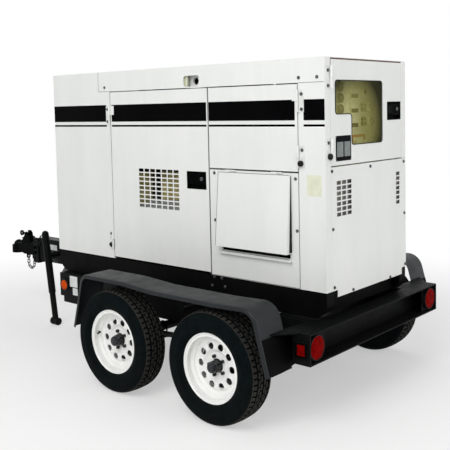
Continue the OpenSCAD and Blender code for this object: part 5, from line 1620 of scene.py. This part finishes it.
@dataclass
class Fenders:
    """Smooth tandem fenders with a rolled outer edge, in place of the plain bands.

    Attributes:
        inner: distance of the inner edge from the middle plane.
        wide: width of a fender.
        roll: radius of the rolled edge.
        lip: depth of the outer lip.
        sheet: thickness of the metal.
        low: height of the lower ends.
        slope: lean of the drops, in degrees.
    """

    inner: float = 0.752
    wide: float = 0.216
    roll: float = 0.012
    lip: float = 0.024
    sheet: float = 0.003
    low: float = 0.378
    slope: float = 15.5

    def arc(self, x: float, top: float, radius: float, ends: Pair, way: float) -> list[Pair]:
        """Lists the points of a round shoulder whose drop ends at the given place."""
        lean = math.radians(self.slope)
        z = top - radius
        drop = z + radius * math.sin(lean) - self.low
        middle = x - way * (math.tan(lean) * drop + radius * math.cos(lean))
        turns = [math.radians(ends[0] + (ends[1] - ends[0]) * i / 14) for i in range(15)]
        return [(middle + radius * math.cos(a), z + radius * math.sin(a)) for a in turns]

    def line(self) -> list[Triple]:
        """Lists the outline from the front drop over the crowns to the rear drop."""
        front, rear, top = -0.155, -1.827, 0.748
        shoulder = self.arc(front, top, 0.070, (self.slope, 90.0), 1.0)
        falls = ((-0.627, 0.0), (-0.677, 0.0012), (-0.740, 0.0060), (-0.850, 0.0135), (-0.921, 0.0182),
                 (-0.980, 0.0190), (-1.421, 0.0190), (-1.480, 0.0175))
        dip = [(x, top - fall) for x, fall in falls]
        back = self.arc(rear, top - 0.011, 0.110, (90.0, 180.0 - self.slope), -1.0)
        points = [(front, self.low), *shoulder, *dip, *back, (rear, self.low)]
        return [(x, self.inner, z) for x, z in points]

    def band(self) -> Thing:
        """Draws the outline, widens it, rolls its outer edge over and gives it thickness."""
        piece = chain("fender", self.line())
        push((0, self.wide - self.roll, 0))
        bpy.ops.mesh.select_all(action="SELECT")
        bpy.ops.mesh.normals_make_consistent(inside=False)
        mark(piece, lambda p: p.y > self.inner + self.roll)
        turns = [math.pi / 2 * i / 5 for i in range(6)]
        for a, b in zip(turns, turns[1:]):
            push((0, self.roll * (math.sin(b) - math.sin(a)) - 0.0001, 0))
            bpy.ops.transform.shrink_fatten(value=-self.roll * (math.cos(a) - math.cos(b)))
        push((0, 0.0005, 0))
        bpy.ops.transform.shrink_fatten(value=-(self.lip - self.roll))
        outward()
        modify(piece, "SOLIDIFY", thickness=self.sheet, offset=-1.0)
        return smooth(piece, 40)

    def build(self) -> None:
        """Fits both fenders."""
        pair = both(self.band(), "{}_rolled_fender", FENDER)
        for side, piece in pair.items():
            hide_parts(f"{side.word}_fender")


@dataclass
class Jack:
    """Crank and pull pin of the swivel jack.

    Attributes:
        pivot: the jack's pivot.
        lean: its lean in degrees.
        top: height of the tube's end above the pivot.
    """

    pivot: Triple = (1.168, 0.200, 0.590)
    lean: float = 8.0
    top: float = 0.188

    def build(self) -> None:
        """Fits the crank on the tube's top and the pin through its collar."""
        stand = Matrix.Translation(self.pivot) @ Matrix.Rotation(math.radians(self.lean), 4, "Y")
        z = self.top - 0.012
        bar = tube("crank", [(0.020, 0, z), (0.062, 0, z), (0.078, 0, z - 0.006), (0.088, 0.0, z - 0.022),
                             (0.092, 0.0, z - 0.052)], 0.0055)
        outline = [(0.0, 0.0), (0.010, 0.002), (0.012, 0.010), (0.011, 0.034), (0.008, 0.042), (0.0, 0.044)]
        knob = turned("knob", outline, 16)
        knob.data.transform(Matrix.Translation((0.092, 0, z - 0.090)))
        crank = smooth(join("jack_crank", [bar, knob]))
        crank.data.transform(stand)
        dress(crank, CHASSIS, "jack_tube")
        hoop = [(0.0, -0.074 - 0.016 * math.sin(a), -0.058 - 0.016 * math.cos(a)) for a in
                (math.tau * i / 16 for i in range(17))]
        ring = tube("pull_ring", hoop, 0.0025)
        outline = [(0.0, 0.0), (0.006, 0.0), (0.006, 0.018), (0.009, 0.019), (0.009, 0.024), (0.0, 0.024)]
        pin = turned("pin", outline, 14)
        pin.data.transform(Matrix.Translation((0, -0.062, -0.060)))
        lock = smooth(join("jack_pull_pin", [ring, pin]))
        lock.data.transform(stand)
        dress(lock, CHAIN, "jack_tube")


def dress_solids() -> None:
    """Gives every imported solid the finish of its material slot."""
    for part in frame["record"]["subparts"]:
        solid = frame["nodes"][part["node"]]
        finish = SLOTS[part["material_slot"]]
        if not solid.material_slots:
            solid.data.materials.append(finish.material())
        for place in solid.material_slots:
            place.material = finish.material()
        log.info("%s: %s", part["node"], finish.name)


def main() -> None:
    """Dresses the solids, then builds each class of fittings in order."""
    logging.basicConfig(level=logging.INFO, format="%(message)s")
    cab = Cabinet()
    Studio().build()
    Camera().build()
    dress_solids()
    screws = Screws(cab)
    screws.build()
    groups = (Stripes(cab), Seams(cab), Hinges(cab, screws), Latches(cab), Cover(cab), Plates(cab),
              Ducts(cab), Wheels(), Instruments(), Lamps(), Fenders(), Aprons(), Coupler(), Jack())
    for group in groups:
        group.build()


if __name__ == "__main__":
    main()
